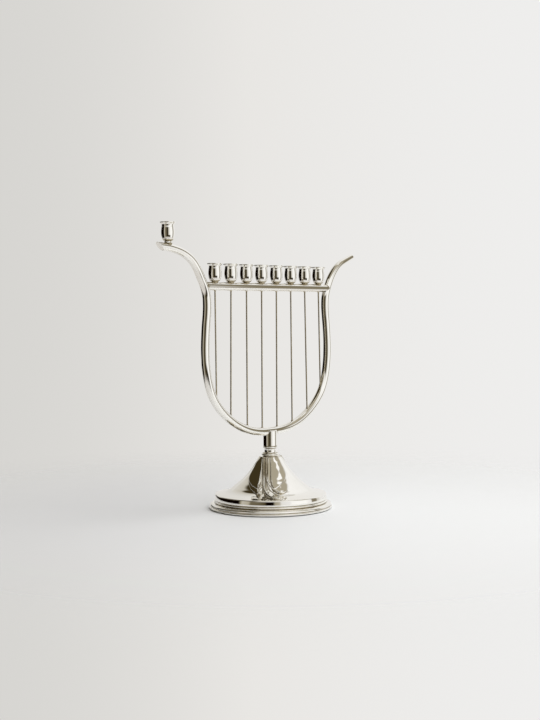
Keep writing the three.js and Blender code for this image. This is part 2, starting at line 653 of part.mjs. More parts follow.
// A leaf lying on the trumpet, to one side of the spray's middle. thickness(v) is its thickness at
// v, the share from its middle (0) to its edge (1 or -1).
function leaf({ middle, side, swings, widths, halfWidth, footHeight, thickness, grow = 0 }) {
  const topDown = LEAF_TOP_DROP / trumpetHeight;
  const footDown = (TRUMPET_TOP - footHeight) / trumpetHeight;
  const endGrow = grow / trumpetHeight;
  const [front, back] = [[], []];
  for (let i = 0; i <= LEAF_STEPS; i += 1) {
    const share = i / LEAF_STEPS;
    const down = THREE.MathUtils.lerp(topDown - endGrow, footDown + endGrow, share);
    const radius = trumpetRadius(down);
    const half = halfWidth * readShares(widths, share) + grow;
    const lift = readShares(LEAF_THICKNESS_SHARES, share);
    for (let j = 0; j <= LEAF_STRIPS; j += 1) {
      const v = 2 * j / LEAF_STRIPS - 1;
      const degrees = middle + side * LEAF_SWING_DEGREES * readShares(swings, share)
        + THREE.MathUtils.radToDeg(v * half / radius);
      front.push(overTrumpet(down, degrees, CLEARANCE + thickness(v) * lift + grow));
      back.push(overTrumpet(down, degrees, CLEARANCE - grow));
    }
  }
  return patchSolid(front, back, LEAF_STEPS, LEAF_STRIPS);
}

// A closed solid between two grids of points.
function patchSolid(front, back, rows, columns) {
  const count = front.length;
  const at = (i, j) => i * (columns + 1) + j;
  const corners = [];
  const quad = (a, b, c, d) => corners.push(a, b, c, a, c, d);
  for (let i = 0; i < rows; i += 1) {
    for (let j = 0; j < columns; j += 1) {
      quad(at(i, j), at(i + 1, j), at(i + 1, j + 1), at(i, j + 1));
      quad(count + at(i, j), count + at(i, j + 1), count + at(i + 1, j + 1), count + at(i + 1, j));
    }
    quad(at(i, 0), count + at(i, 0), count + at(i + 1, 0), at(i + 1, 0));
    quad(at(i, columns), at(i + 1, columns), count + at(i + 1, columns), count + at(i, columns));
  }
  for (let j = 0; j < columns; j += 1) {
    quad(at(0, j), at(0, j + 1), count + at(0, j + 1), count + at(0, j));
    quad(at(rows, j), count + at(rows, j), count + at(rows, j + 1), at(rows, j + 1));
  }
  const geometry = new THREE.BufferGeometry().setFromPoints([...front, ...back]);
  geometry.setIndex(corners);
  return toSolid(outward(geometry));
}

function leafPair(middle, side, grow) {
  const upper = leaf({
    middle, side, grow, halfWidth: LEAF_HALF_WIDTH, footHeight: LEAF_FOOT,
    swings: side > 0 ? RIGHT_LEAF_SWING_SHARES : LEFT_LEAF_SWING_SHARES,
    widths: side > 0 ? RIGHT_LEAF_WIDTH_SHARES : LEFT_LEAF_WIDTH_SHARES,
    thickness: (v) => LEAF_EDGE + LEAF_BULGE * (1 - v * v),
  });
  const under = leaf({
    middle, side, grow, halfWidth: UNDERLEAF_HALF_WIDTH,
    swings: side > 0 ? RIGHT_UNDERLEAF_SWING_SHARES : LEFT_UNDERLEAF_SWING_SHARES,
    widths: side > 0 ? RIGHT_UNDERLEAF_WIDTH_SHARES : LEFT_UNDERLEAF_WIDTH_SHARES,
    footHeight: side > 0 ? RIGHT_UNDERLEAF_FOOT : LEFT_UNDERLEAF_FOOT,
    thickness: (v) => UNDERLEAF_EDGE + UNDERLEAF_BULGE * (1 - v * v),
  });
  return { upper, under };
}

function tendrilRod({ middle, swings, tapers = TENDRIL_TAPER_SHARES, fromRadius, toRadius, grow }) {
  const [points, radii, guides] = [[], [], []];
  const first = swings[0][0];
  const last = swings[swings.length - 1][0];
  for (let k = 0; k <= TENDRIL_STEPS; k += 1) {
    const share = k / TENDRIL_STEPS;
    const down = THREE.MathUtils.lerp(first, last, 1 - (1 - share) ** TENDRIL_TIP_CROWDING);
    const radius = THREE.MathUtils.lerp(fromRadius, toRadius, readShares(tapers, share));
    const lift = TENDRIL_LIFT * readShares(TENDRIL_LIFT_SHARES, down);
    const degrees = middle + TENDRIL_SWING_DEGREES * readShares(swings, down);
    const point = overTrumpet(down, degrees, lift);
    points.push(point);
    guides.push(overTrumpet(down, degrees, lift + radius).sub(point));
    radii.push(radius + grow);
  }
  return toSolid(rod(points, radii, TENDRIL_SIDES, (k) => guides[k]));
}

function tendril(middle, grow) {
  const stalk = tendrilRod({
    middle, grow, swings: TENDRIL_SWING_SHARES, fromRadius: TENDRIL_ROOT_RADIUS,
    toRadius: TENDRIL_TIP_RADIUS,
  });
  const strand = tendrilRod({
    middle, grow, swings: STRAND_SWING_SHARES, tapers: STRAND_TAPER_SHARES,
    fromRadius: STRAND_ROOT_RADIUS, toRadius: STRAND_TIP_RADIUS,
  });
  const twig = tendrilRod({
    middle, grow, swings: TWIG_SWING_SHARES, fromRadius: TWIG_RADIUS, toRadius: TWIG_RADIUS,
  });
  return stalk.add(strand).add(twig);
}

for (let k = 0; k < SPRAY_COUNT; k += 1) {
  const middle = SPRAY_DEGREES + k * 360 / SPRAY_COUNT;
  const place = SPRAY_COUNT === 2 ? ['front', 'back'][k] : `${k + 1}`;
  const [left, right] = [leafPair(middle, -1, 0), leafPair(middle, 1, 0)];
  const [leftRoom, rightRoom] = [leafPair(middle, -1, CLEARANCE), leafPair(middle, 1, CLEARANCE)];
  const tendrilRoom = tendril(middle, CLEARANCE);
  const solids = {
    leaf_right: right.upper.subtract(rightRoom.under).subtract(leftRoom.under).subtract(tendrilRoom),
    leaf_left: left.upper.subtract(leftRoom.under).subtract(rightRoom.under)
      .subtract(rightRoom.upper).subtract(tendrilRoom),
    underleaf_right: right.under.subtract(tendrilRoom),
    underleaf_left: left.under.subtract(rightRoom.under).subtract(tendrilRoom),
    tendril: tendril(middle, 0),
  };
  for (const [name, solid] of Object.entries(solids)) {
    addPiece(`${place}_${name}`, toGeometry(solid), silver());
  }
}

export default menorah;
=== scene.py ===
"""The looks of the harp menorah: smooth silver-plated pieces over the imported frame, on a pale floor.

Everything is in metres, with +Z up, the origin at the middle of the foot on the table, the harp in
the XZ plane, the raised cup on the -X side and the front towards -Y.
"""

import math

import bmesh
import bpy
from bpy.props import FloatProperty, FloatVectorProperty, IntProperty, PointerProperty
from mathutils import Matrix, Vector


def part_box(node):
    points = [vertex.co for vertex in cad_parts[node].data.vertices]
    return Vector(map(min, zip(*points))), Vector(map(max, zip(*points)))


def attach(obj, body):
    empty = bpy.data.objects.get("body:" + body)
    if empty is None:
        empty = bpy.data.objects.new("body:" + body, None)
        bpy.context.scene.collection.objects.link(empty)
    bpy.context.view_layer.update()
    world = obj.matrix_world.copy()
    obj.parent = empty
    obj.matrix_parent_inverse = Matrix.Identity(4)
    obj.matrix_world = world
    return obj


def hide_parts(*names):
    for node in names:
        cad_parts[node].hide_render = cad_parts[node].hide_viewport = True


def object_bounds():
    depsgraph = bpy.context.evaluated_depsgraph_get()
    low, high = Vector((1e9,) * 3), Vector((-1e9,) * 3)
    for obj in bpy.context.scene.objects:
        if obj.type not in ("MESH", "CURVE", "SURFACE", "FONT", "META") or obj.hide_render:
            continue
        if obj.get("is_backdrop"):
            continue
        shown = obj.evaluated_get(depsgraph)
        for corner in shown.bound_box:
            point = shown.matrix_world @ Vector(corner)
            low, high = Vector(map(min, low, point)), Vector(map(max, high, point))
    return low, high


bl_info = {
    "name": "Harp Menorah",
    "version": (1, 0, 0),
    "blender": (4, 5, 0),
    "location": "3D View > Sidebar > Menorah",
    "description": "Builds the silver pieces of the harp menorah and its studio",
    "category": "Object",
}

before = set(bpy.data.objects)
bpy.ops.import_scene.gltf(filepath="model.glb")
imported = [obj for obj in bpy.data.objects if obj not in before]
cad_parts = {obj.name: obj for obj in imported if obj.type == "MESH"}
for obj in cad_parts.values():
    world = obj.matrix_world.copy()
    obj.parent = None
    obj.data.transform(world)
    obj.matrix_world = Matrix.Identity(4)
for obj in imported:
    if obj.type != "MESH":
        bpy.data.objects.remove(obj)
CAD_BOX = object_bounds()

MM = 0.001
SILVER_SLOT, FELT_SLOT = "silver_plate", "felt"
# The picture's view of the menorah: degrees round from the front.
VIEW_DEGREES = -47.02

# Down the trumpet from its top: share of the height, share of the radius gained.
TRUMPET_SHARES = [
    (0, 0), (0.15, 0.084), (0.275, 0.15), (0.373, 0.21), (0.485, 0.283), (0.597, 0.37),
    (0.709, 0.478), (0.821, 0.59), (0.927, 0.714), (0.972, 0.85), (1, 1),
]
# Half of the lower harp from its lowest point to the bar: share of the half width, share of the
# height from the lowest point to the bar.
HARP_SHARES = [
    (0, 0), (0.173, 0.004), (0.345, 0.023), (0.512, 0.061), (0.671, 0.12), (0.797, 0.187),
    (0.895, 0.265), (0.957, 0.36), (0.992, 0.475), (1, 0.58), (0.987, 0.72), (0.969, 0.82),
    (0.965, 0.88), (0.974, 0.94), (1.006, 1),
]
# Arms above the bar: share of the reach beyond the bar's end, share of the rise.
LEFT_ARM_SHARES = [
    (0.08, 0.23), (0.145, 0.41), (0.23, 0.59), (0.33, 0.73), (0.5, 0.868), (0.75, 0.966), (1, 1),
]
RIGHT_ARM_SHARES = [
    (0.05, 0.13), (0.155, 0.35), (0.34, 0.61), (0.49, 0.74), (0.72, 0.865), (0.93, 0.968), (1, 1),
]
# Sideways lean of each string from the bar to the harp, as a share of the pitch.
STRING_LEAN_SHARES = [0.03, -0.08, -0.03, -0.04, -0.03, 0.04, 0.11, 0.1]
# Down a leaf: share of its length, share of its widest half width.
RIGHT_LEAF_WIDTH_SHARES = [
    (0, 0.56), (0.155, 0.68), (0.355, 0.85), (0.44, 0.93), (0.6, 1), (0.715, 0.94), (0.82, 0.79),
    (0.91, 0.5), (1, 0.12),
]
LEFT_LEAF_WIDTH_SHARES = [
    (0, 0.4), (0.155, 0.49), (0.355, 0.63), (0.54, 0.83), (0.665, 0.95), (0.76, 0.965),
    (0.84, 0.87), (0.92, 0.67), (1, 0.2),
]
RIGHT_UNDERLEAF_WIDTH_SHARES = [
    (0, 0.39), (0.14, 0.48), (0.325, 0.61), (0.44, 0.78), (0.51, 0.925), (0.625, 1), (0.733, 0.99),
    (0.86, 0.885), (0.947, 0.7), (0.985, 0.43), (1, 0.16),
]
LEFT_UNDERLEAF_WIDTH_SHARES = [
    (0, 0.26), (0.14, 0.35), (0.315, 0.49), (0.48, 0.7), (0.56, 0.91), (0.665, 0.93), (0.763, 0.87),
    (0.86, 0.75), (0.927, 0.58), (0.982, 0.36), (1, 0.17),
]
# Down a leaf: share of its length, share of its full thickness.
LEAF_THICKNESS_SHARES = [(0, 0.3), (0.2, 0.7), (0.45, 1), (0.8, 1), (1, 0.75)]
# Down a leaf: share of its length, share of the leaf's swing from the spray's middle.
RIGHT_LEAF_SWING_SHARES = [
    (0, 0.94), (0.155, 0.9), (0.44, 0.9), (0.54, 0.86), (0.6, 0.83), (0.715, 0.73), (0.82, 0.62),
    (0.91, 0.51), (1, 0.42),
]
LEFT_LEAF_SWING_SHARES = [
    (0, 1.58), (0.155, 1.24), (0.355, 1.03), (0.54, 0.93), (0.665, 0.86), (0.76, 0.77),
    (0.84, 0.63), (0.92, 0.5), (1, 0.37),
]
RIGHT_UNDERLEAF_SWING_SHARES = [
    (0, 0.93), (0.14, 0.9), (0.325, 0.89), (0.44, 0.93), (0.51, 0.99), (0.625, 0.96), (0.733, 0.88),
    (0.86, 0.8), (0.947, 0.75), (1, 0.7),
]
LEFT_UNDERLEAF_SWING_SHARES = [
    (0, 1.53), (0.14, 1.18), (0.315, 1), (0.48, 0.93), (0.56, 0.98), (0.665, 0.85), (0.763, 0.69),
    (0.86, 0.53), (0.927, 0.4), (1, 0.29),
]
# Down a strand: share of the trumpet's height from its top, share of the tendril's swing.
TENDRIL_SWING_SHARES = [
    (0.03, -1.12), (0.151, -0.8), (0.31, -0.572), (0.462, -0.412), (0.589, -0.305),
    (0.706, -0.229), (0.814, -0.118), (0.892, 0.056), (0.94, 0.22), (0.966, 0.4), (0.979, 0.6),
    (0.985, 0.84),
]
STRAND_SWING_SHARES = [
    (0.03, -0.62), (0.174, -0.37), (0.36, -0.188), (0.511, -0.133), (0.625, 0.029),
    (0.716, 0.225), (0.781, 0.418), (0.83, 0.639), (0.863, 0.869), (0.877, 0.999),
]
TWIG_SWING_SHARES = [(0.792, 0.196), (0.842, 0.12), (0.882, 0.061)]
# Down a strand: share of the trumpet's height from its top, share of the full lift.
TENDRIL_LIFT_SHARES = [
    (0.03, 0.58), (0.165, 0.8), (0.313, 0.95), (0.553, 1), (0.668, 1), (0.782, 0.9),
    (0.869, 0.7), (0.922, 0.5), (0.985, 0.36),
]
# Along a strand: share of its run, share of the way from root to tip radius.
TENDRIL_TAPER_SHARES = [(0, 0), (0.4, 0.4), (0.75, 0.6), (1, 1)]
STRAND_TAPER_SHARES = [(0, 0), (0.25, 0.2), (0.36, 0.75), (0.5, 1), (1, 1)]
# Round the studio that the silver mirrors: degrees to the right of the camera, tone from 0 to 1.
LOW_TONES = [
    (-180, 0.88), (-140, 0.84), (-129, 0.78), (-123, 0.08), (-68, 0.06), (-64, 0.56),
    (-60, 0.74), (-46, 0.68), (-41, 0.42), (-24, 0.4), (-12, 0.32), (-8, 0.07), (5, 0.07),
    (9, 0.62), (18, 0.7), (22, 0.88), (40, 0.92), (44, 0.98), (76, 1.0), (88, 0.92),
    (112, 0.8), (122, 0.92), (150, 0.93), (180, 0.88),
]
HIGH_TONES = [
    (-180, 0.86), (-150, 0.81), (-120, 0.66), (-70, 0.66), (-40, 0.78), (-18, 0.84), (0, 0.96),
    (46, 1.0), (62, 0.86), (78, 0.62), (96, 0.68), (106, 0.9), (124, 0.97), (150, 0.95),
    (180, 0.88),
]


# Cards in the studio, placed for what the silver mirrors in the main view. Each has its tone, its
# left and right edge in degrees, its low and high edge as a height share, and how soft they are.
STUDIO_CARDS = [
    (0.66, -26, 120, 0.75, 2, 3, 0.04),  # overhead, in the right leaf
    (0.5, 92, 108, -0.35, 0.7, 2, 0.06),  # a strip at the right, in the crossbar
    (0.06, -200, -112, -0.128, -0.085, 4, 0.01),  # a low strip at the left, in the stem's edge
    (0.1, -160, -121, -0.05, 0.18, 3, 0.05),  # a dark card at the left, in the stem and cups
    (0.2, -16, 50, -0.5, -0.17, 5, 0.05),  # below the camera, in the harp's sides
    (1.0, 68, 94, 0.885, 0.975, 3, 0.01),  # a small bright card, the right leaf's streak
    (0.24, -134, -33, 0.45, 0.972, 4, 0.05),  # a dark card high at the left, in the left leaf
]
# Where the backdrop is in view for the mirrors too: left and right edge in degrees.
BACKDROP_EDGES = [(-210, -158), (158, 210)]
FLOOR_RADIUS = 0.62


def warm(tone):
    """A studio tone as a colour: nearly white where it is bright, brown where it is dark."""
    fall = min(1.0, max(0.0, 4.0 * (0.9 - tone)))
    return tuple(max(tone - fall * part, 0.003) ** 2.2 for part in (0.0, 0.03, 0.1))


def length(name, description, default):
    """A size in millimetres as a length property in metres."""
    return FloatProperty(
        name=name, description=description, default=default * MM, unit="LENGTH", subtype="DISTANCE",
        precision=5)


def colour(name, description, default):
    return FloatVectorProperty(
        name=name, description=description, default=default, subtype="COLOR", size=3, min=0, max=1)


def top_of(node):
    """The height of a node's highest point, in millimetres."""
    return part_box(node)[1].z / MM


class FootSizes(bpy.types.PropertyGroup):
    radius: length(
        "Radius", "Radius of the rolled rim on the table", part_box("foot_shell")[1].x / MM)
    wall: length("Sheet", "Thickness of the spun sheet", 1.1)
    lift: length("Lift", "Height of the rim's lower edge over the table", 0.4)
    roll_top: length("Roll top", "Height of the top of the rolled rim", 2.8)
    step_radius: length("Step radius", "Radius of the step over the roll", 59.4)
    step_top: length("Step top", "Height of the step", 5.9)
    tier_radius: length("Tier radius", "Radius of the upright wall", 54.6)
    wall_foot: length("Wall foot", "Height at which the upright wall starts", 8.7)
    tier_top: length("Tier top", "Height at which the trumpet starts", 14.6)
    top_radius: length("Trumpet top radius", "Radius of the trumpet at its top", 10.5)
    top: length("Trumpet top", "Height of the trumpet's top", top_of("foot_shell"))


class StackSizes(bpy.types.PropertyGroup):
    collar_radius: length("Collar radius", "Widest radius of the collar ring", 8.6)
    collar_end_radius: length("Collar end radius", "Radius of the collar ring at its ends", 7.2)
    collar_top: length("Collar top", "Height of the collar ring's top", top_of("collar_ring"))
    ferrule_radius: length("Ferrule radius", "Radius of the neck ferrule at its foot", 6.3)
    waist_radius: length("Waist radius", "Narrowest radius of the neck ferrule", 5.7)
    bead_radius: length("Bead radius", "Radius of the bead at the ferrule's top", 6.9)
    bead_height: length("Bead height", "Height of that bead", 1.9)
    ferrule_top: length("Ferrule top", "Height of the ferrule's top", top_of("neck_ferrule"))
    stem_radius: length("Stem radius", "Radius of the stem", 6.7)
    stem_top: length("Stem top", "Height of the stem's cheeks beside the rod", top_of("stem"))


class HarpSizes(bpy.types.PropertyGroup):
    rod_radius: length("Rod radius", "Radius of the bent rod", 4.0)
    half_width: length(
        "Half width", "From the middle to the rod's centre at the widest point", 86.9)
    floor: length("Lowest point", "Height of the rod's centre over the stem", 75.0)
    bar_height: length("Bar height", "Height of the crossbar's centre", 215.1)
    bar_radius: length("Bar radius", "Radius of the crossbar", 3.95)
    left_reach: length("Left reach", "From the middle to the left arm's end", 141.4)
    left_rise: length("Left rise", "Height of the left arm's end over the bar", 34.7)
    left_tip: length("Left tip radius", "Radius of the left arm at its end", 3.5)
    left_slant: length("Left slant", "How far the left end's upper edge runs ahead", 3.8)
    right_reach: length("Right reach", "From the middle to the right arm's end", 128.5)
    right_rise: length("Right rise", "Height of the right arm's end over the bar", 33.7)
    right_root: length("Right root radius", "Radius of the right arm over the bar", 4.0)
    right_tip: length("Right tip radius", "Radius of the right arm at its end", 2.6)
    string_radius: length("String radius", "Radius of a string", 0.7)
    pitch: length("Pitch", "Distance between neighbouring strings and cups", 21.0)
    strings: IntProperty(name="Strings", description="How many strings and cups", default=8, min=1)


class CupSizes(bpy.types.PropertyGroup):
    height: length("Height", "Height of a cup over its seat", 17.4)
    rim_radius: length("Rim radius", "Radius of the flared rim", 7.15)
    neck_radius: length("Neck radius", "Radius under the rim", 5.55)
    belly_radius: length("Belly radius", "Widest radius of the body", 6.1)
    foot_radius: length("Foot radius", "Radius of the cup's foot", 3.0)
    bore_radius: length("Bore radius", "Radius of the hole for the candle", 4.9)
    bore_floor: length("Bore floor", "Height of the hole's floor over the seat", 3.2)
    seat: length("Seat", "Height of the bar's top, where the cups stand", 219.05)
    raised_x: length("Raised cup", "Place of the raised cup across the harp", -131.5)
    raised_seat: length("Raised seat", "Height at which the raised cup stands", 254.344)
    stand_radius: length("Stand radius", "Radius of the stand under the raised cup", 3.4)
    stand_foot: length("Stand foot", "Height of the arm's top under the stand", 252.844)


class LeafSizes(bpy.types.PropertyGroup):
    sprays: IntProperty(
        name="Sprays", description="How many sprays lie on the foot", default=2, min=1)
    turn: FloatProperty(
        name="Turn", description="Degrees round from the front to the first spray's middle",
        default=-54.0)
    half_width: length("Leaf half width", "Widest half width of a leaf", 7.5)
    foot: length("Leaf foot", "Height of a leaf's tip", 21.4)
    edge: length("Leaf edge", "Thickness at a leaf's edge", 3.0)
    bulge: length("Leaf bulge", "Extra thickness at a leaf's middle", 0.3)
    under_half_width: length("Lower leaf half width", "Widest half width of a lower leaf", 8.7)
    right_under_foot: length("Right lower leaf foot", "Height of the right lower leaf's tip", 18.8)
    left_under_foot: length("Left lower leaf foot", "Height of the left lower leaf's tip", 17.9)
    under_edge: length("Lower leaf edge", "Thickness at a lower leaf's edge", 1.0)
    under_bulge: length("Lower leaf bulge", "Extra thickness at its middle", 0.9)
    tendril_root: length("Tendril root radius", "Radius of the tendril at its top", 1.5)
    tendril_tip: length("Tendril tip radius", "Radius of the tendril at its end", 0.7)
    tendril_lift: length("Tendril lift", "How far the strands stand off the trumpet", 3.2)
    strand_root: length("Strand root radius", "Radius of the thinner strand at its top", 1.4)
    strand_tip: length("Strand tip radius", "Radius of the thinner strand's wire", 0.55)
    twig_radius: length("Twig radius", "Radius of the small twig on the tendril", 0.6)


class Finishes(bpy.types.PropertyGroup):
    silver: colour("Silver", "Bright silver plate", (0.975, 0.955, 0.905))
    tarnish: colour("Tarnish", "Silver plate that polish has not reached", (0.42, 0.36, 0.24))
    steel: colour("Steel", "Plain steel inside the foot", (0.42, 0.42, 0.41))
    felt: colour("Felt", "Felt under the foot", (0.018, 0.040, 0.028))
    # The floor's two colours paint its shade: darker at the view's left, lighter at its right, where
    # more light falls.
    floor_in_painted_shade: colour("Floor left", "Studio floor at the picture's left", (0.79, 0.80, 0.825))
    floor_in_painted_light: colour("Floor right", "Studio floor at the picture's right", (0.915, 0.935, 0.96))
    # The backdrop's three colours paint its shade: darkest at the view's left, lightest at its right.
    backdrop_in_painted_shade: colour("Backdrop left", "Backdrop at the picture's left", (0.675, 0.665, 0.64))
    middle_wall: colour("Backdrop middle", "Backdrop behind the menorah", (0.81, 0.795, 0.77))
    backdrop_in_painted_light: colour("Backdrop right", "Backdrop at the picture's right", (0.86, 0.855, 0.845))


# Nodes


class Value:
    """A node's output that stands in a sum; every sum adds its Math node to the same tree."""

    def __init__(self, bench, socket):
        self.bench, self.socket = bench, socket

    def maths(self, operation, *values):
        sockets = dict(enumerate(values))
        return self.bench.make("ShaderNodeMath", {"operation": operation}, sockets)

    def __add__(self, other):
        return self.maths("ADD", self, other)

    def __radd__(self, other):
        return self.maths("ADD", other, self)

    def __sub__(self, other):
        return self.maths("SUBTRACT", self, other)

    def __rsub__(self, other):
        return self.maths("SUBTRACT", other, self)

    def __mul__(self, other):
        return self.maths("MULTIPLY", self, other)

    def __rmul__(self, other):
        return self.maths("MULTIPLY", other, self)

    def __truediv__(self, other):
        return self.maths("DIVIDE", self, other)

    def other(self, name):
        """Another output of the same node."""
        return Value(self.bench, self.socket.node.outputs[name])

    def between(self, low, high, start=0.0, end=1.0):
        """Eases from start, at low, to end, at high."""
        return self.bench.make(
            "ShaderNodeMapRange", {"interpolation_type": "SMOOTHSTEP"},
            {0: self, 1: low, 2: high, 3: start, 4: end})


class Bench:
    """The nodes of one material, world or Geometry Nodes tree."""

    def __init__(self, tree):
        self.tree = tree
        tree.nodes.clear()

    def make(self, kind, settings=None, sockets=None, out=0):
        """Adds a node, its settings first, and gives one of its outputs."""
        node = self.tree.nodes.new(kind)
        for name, value in (settings or {}).items():
            if name == "stops":
                set_stops(node.color_ramp, value)
            else:
                setattr(node, name, value)
        for name, value in (sockets or {}).items():
            if isinstance(value, Value):
                self.tree.links.new(value.socket, node.inputs[name])
            else:
                node.inputs[name].default_value = value
        return Value(self, node.outputs[out]) if node.outputs else node

    def mix(self, factor, first, second):
        """A colour between two colours."""
        return self.make(
            "ShaderNodeMix", {"data_type": "RGBA"},
            {"Factor": factor, 6: opaque(first), 7: opaque(second)}, out=2)

    def noise(self, where, scale, detail=3.0, roughness=0.5):
        return self.make(
            "ShaderNodeTexNoise", {},
            {"Vector": where, "Scale": scale, "Detail": detail, "Roughness": roughness})

    def stretched(self, where, scale, turn=(0, 0, 0)):
        return self.make(
            "ShaderNodeMapping", {}, {"Vector": where, "Scale": scale, "Rotation": turn})


def opaque(value):
    return value if isinstance(value, Value) else (*value, 1.0)


def set_stops(ramp, stops):
    while len(ramp.elements) > len(stops):
        ramp.elements.remove(ramp.elements[-1])
    while len(ramp.elements) < len(stops):
        ramp.elements.new(1.0)
    for element, (place, shade) in zip(ramp.elements, stops):
        element.position = place
        element.color = (*shade, 1.0)


def new_material(name):
    material = bpy.data.materials.new(name)
    material.use_nodes = True
    return material, Bench(material.node_tree)


def coated(bench, sockets):
    """Ends a material in one Principled shader."""
    skin = bench.make("ShaderNodeBsdfPrincipled", {}, sockets)
    bench.make("ShaderNodeOutputMaterial", {}, {"Surface": skin})


# Finishes


def silver_finish():
    """Silver plate: bright, hand-polished, duller and yellower where polish can't reach."""
    found = bpy.data.materials.get("silver plate")
    if found:
        return found
    shades = bpy.context.scene.menorah_finishes
    material, bench = new_material("silver plate")
    where = bench.make("ShaderNodeTexCoord", out="Object")
    recess = bench.make("ShaderNodeAttribute", {"attribute_name": "recess"}, out="Fac")
    smudge = bench.noise(where, 48.0, 4.0, 0.6).between(0.42, 0.72)
    cloud = bench.noise(where, 210.0, 3.0, 0.55)
    hairline = bench.noise(bench.stretched(where, (1.0, 1.0, 0.06)), 5200.0, 2.0)
    dull = (recess * (0.55 + 0.9 * cloud)).between(0.05, 1.0)
    polished = bench.mix(smudge * 0.5, tuple(shades.silver), (0.92, 0.90, 0.84))
    waves = bench.noise(where, 75.0, 2.0)
    dents = bench.make(
        "ShaderNodeBump", {}, {"Strength": 0.03, "Distance": 0.0004, "Height": waves})
    coated(bench, {
        "Base Color": bench.mix(dull, polished, tuple(shades.tarnish)),
        "Metallic": 1.0,
        "Roughness": 0.025 + 0.03 * smudge + 0.015 * hairline + 0.24 * dull,
        "Normal": dents,
    })
    return material


def steel_finish():
    """Plain turned steel, brushed round, with a few darker stains."""
    shades = bpy.context.scene.menorah_finishes
    material, bench = new_material("turned steel")
    where = bench.make("ShaderNodeTexCoord", out="Object")
    apart = bench.make("ShaderNodeSeparateXYZ", {}, {"Vector": where}, out="X")
    radius = bench.make("ShaderNodeVectorMath", {"operation": "LENGTH"}, {0: where}, out="Value")
    rings = bench.make(
        "ShaderNodeTexNoise", {"noise_dimensions": "1D"},
        {"W": radius, "Scale": 2600.0, "Detail": 4.0})
    stain = bench.noise(where, 90.0, 4.0, 0.6).between(0.5, 0.75)
    fleck = bench.noise(where, 900.0, 2.0) + 0.0 * apart
    groove = bench.make(
        "ShaderNodeBump", {}, {"Strength": 0.35, "Distance": 0.00006, "Height": rings})
    coated(bench, {
        "Base Color": bench.mix(stain * 0.7, tuple(shades.steel), (0.17, 0.14, 0.11)),
        "Metallic": 1.0,
        "Roughness": 0.28 + 0.16 * rings + 0.2 * stain + 0.06 * fleck,
        "Normal": groove,
    })
    return material


def felt_finish():
    """Pressed wool felt: matted fibres, uneven in colour."""
    shades = bpy.context.scene.menorah_finishes
    material, bench = new_material("pressed felt")
    where = bench.make("ShaderNodeTexCoord", out="Object")
    mat = bench.noise(where, 700.0, 5.0, 0.7)
    long_fibre = bench.noise(bench.stretched(where, (1.0, 0.15, 1.0), (0, 0, 0.7)), 2400.0, 3.0)
    cross_fibre = bench.noise(bench.stretched(where, (0.15, 1.0, 1.0), (0, 0, 0.3)), 2400.0, 3.0)
    fibres = (long_fibre + cross_fibre) * 0.5
    worn = bench.noise(where, 60.0, 3.0).between(0.45, 0.75)
    shade = tuple(shades.felt)
    lighter = tuple(1.9 * part + 0.004 for part in shade)
    tone = bench.mix(fibres.between(0.35, 0.65), tuple(0.6 * part for part in shade), lighter)
    raised = bench.make(
        "ShaderNodeBump", {}, {"Strength": 0.8, "Distance": 0.0004, "Height": mat + fibres})
    coated(bench, {
        "Base Color": bench.mix(worn * 0.35, tone, (0.09, 0.10, 0.09)),
        "Roughness": 0.86 + 0.1 * mat,
        "Sheen Weight": 0.35,
        "Sheen Roughness": 0.5,
        "Normal": raised,
    })
    return material


# Shapes


def blend_between(first, second, share):
    return first + (second - first) * share


def read_shares(shares, share):
    """A smooth curve through (share, value) pairs, read at share."""
    last = len(shares) - 1
    k = 0
    while k < last - 1 and share > shares[k + 1][0]:
        k += 1
    (x0, y0), (x1, y1) = shares[k], shares[k + 1]
    before, after = shares[max(k - 1, 0)], shares[min(k + 2, last)]
    span = x1 - x0
    t = min(max((share - x0) / span, 0.0), 1.0)
    slope0 = (y1 - before[1]) / (x1 - before[0]) * span
    slope1 = (after[1] - y0) / (after[0] - x0) * span
    return (
        (2 * t**3 - 3 * t**2 + 1) * y0 + (t**3 - 2 * t**2 + t) * slope0
        + (3 * t**2 - 2 * t**3) * y1 + (t**3 - t**2) * slope1)


def curve_through(points, steps):
    """A centripetal curve through points, with that many steps from each point to the next."""
    points = [Vector(p) for p in points]
    ends = [2 * points[0] - points[1], *points, 2 * points[-1] - points[-2]]
    run = []
    for k in range(len(points) - 1):
        p0, p1, p2, p3 = ends[k:k + 4]
        d0, d1, d2 = (max((b - a).length, 1e-9) ** 0.5 for a, b in ((p0, p1), (p1, p2), (p2, p3)))
        m1 = ((p1 - p0) / d0 - (p2 - p0) / (d0 + d1) + (p2 - p1) / d1) * d1
        m2 = ((p2 - p1) / d1 - (p3 - p1) / (d1 + d2) + (p3 - p2) / d2) * d1
        for step in range(steps):
            t = step / steps
            run.append(
                p1 + m1 * t + (3 * (p2 - p1) - 2 * m1 - m2) * t**2
                + (2 * (p1 - p2) + m1 + m2) * t**3)
    return [*run, points[-1]]


def evenly(run, places):
    """Points on a run of points at the given distances along it."""
    reached = [0.0]
    for a, b in zip(run, run[1:]):
        reached.append(reached[-1] + (b - a).length)
    found, k = [], 0
    for place in places(reached[-1]):
        while k < len(run) - 2 and reached[k + 1] < place:
            k += 1
        t = (place - reached[k]) / (reached[k + 1] - reached[k])
        found.append(run[k].lerp(run[k + 1], t))
    return found


def rounded(corners, radii, steps=6):
    """A (radius, height) profile through corners, each corner rounded by its radius."""
    profile = [Vector(corners[0])]
    for k in range(1, len(corners) - 1):
        a, b, c = (Vector(corners[j]) for j in (k - 1, k, k + 1))
        one, two = (a - b), (c - b)
        reach = min(radii[k], 0.49 * one.length, 0.49 * two.length)
        start, end = b + one.normalized() * reach, b + two.normalized() * reach
        for step in range(steps + 1):
            t = step / steps
            profile.append((1 - t) ** 2 * start + 2 * t * (1 - t) * b + t**2 * end)
    return [*profile, Vector(corners[-1])]


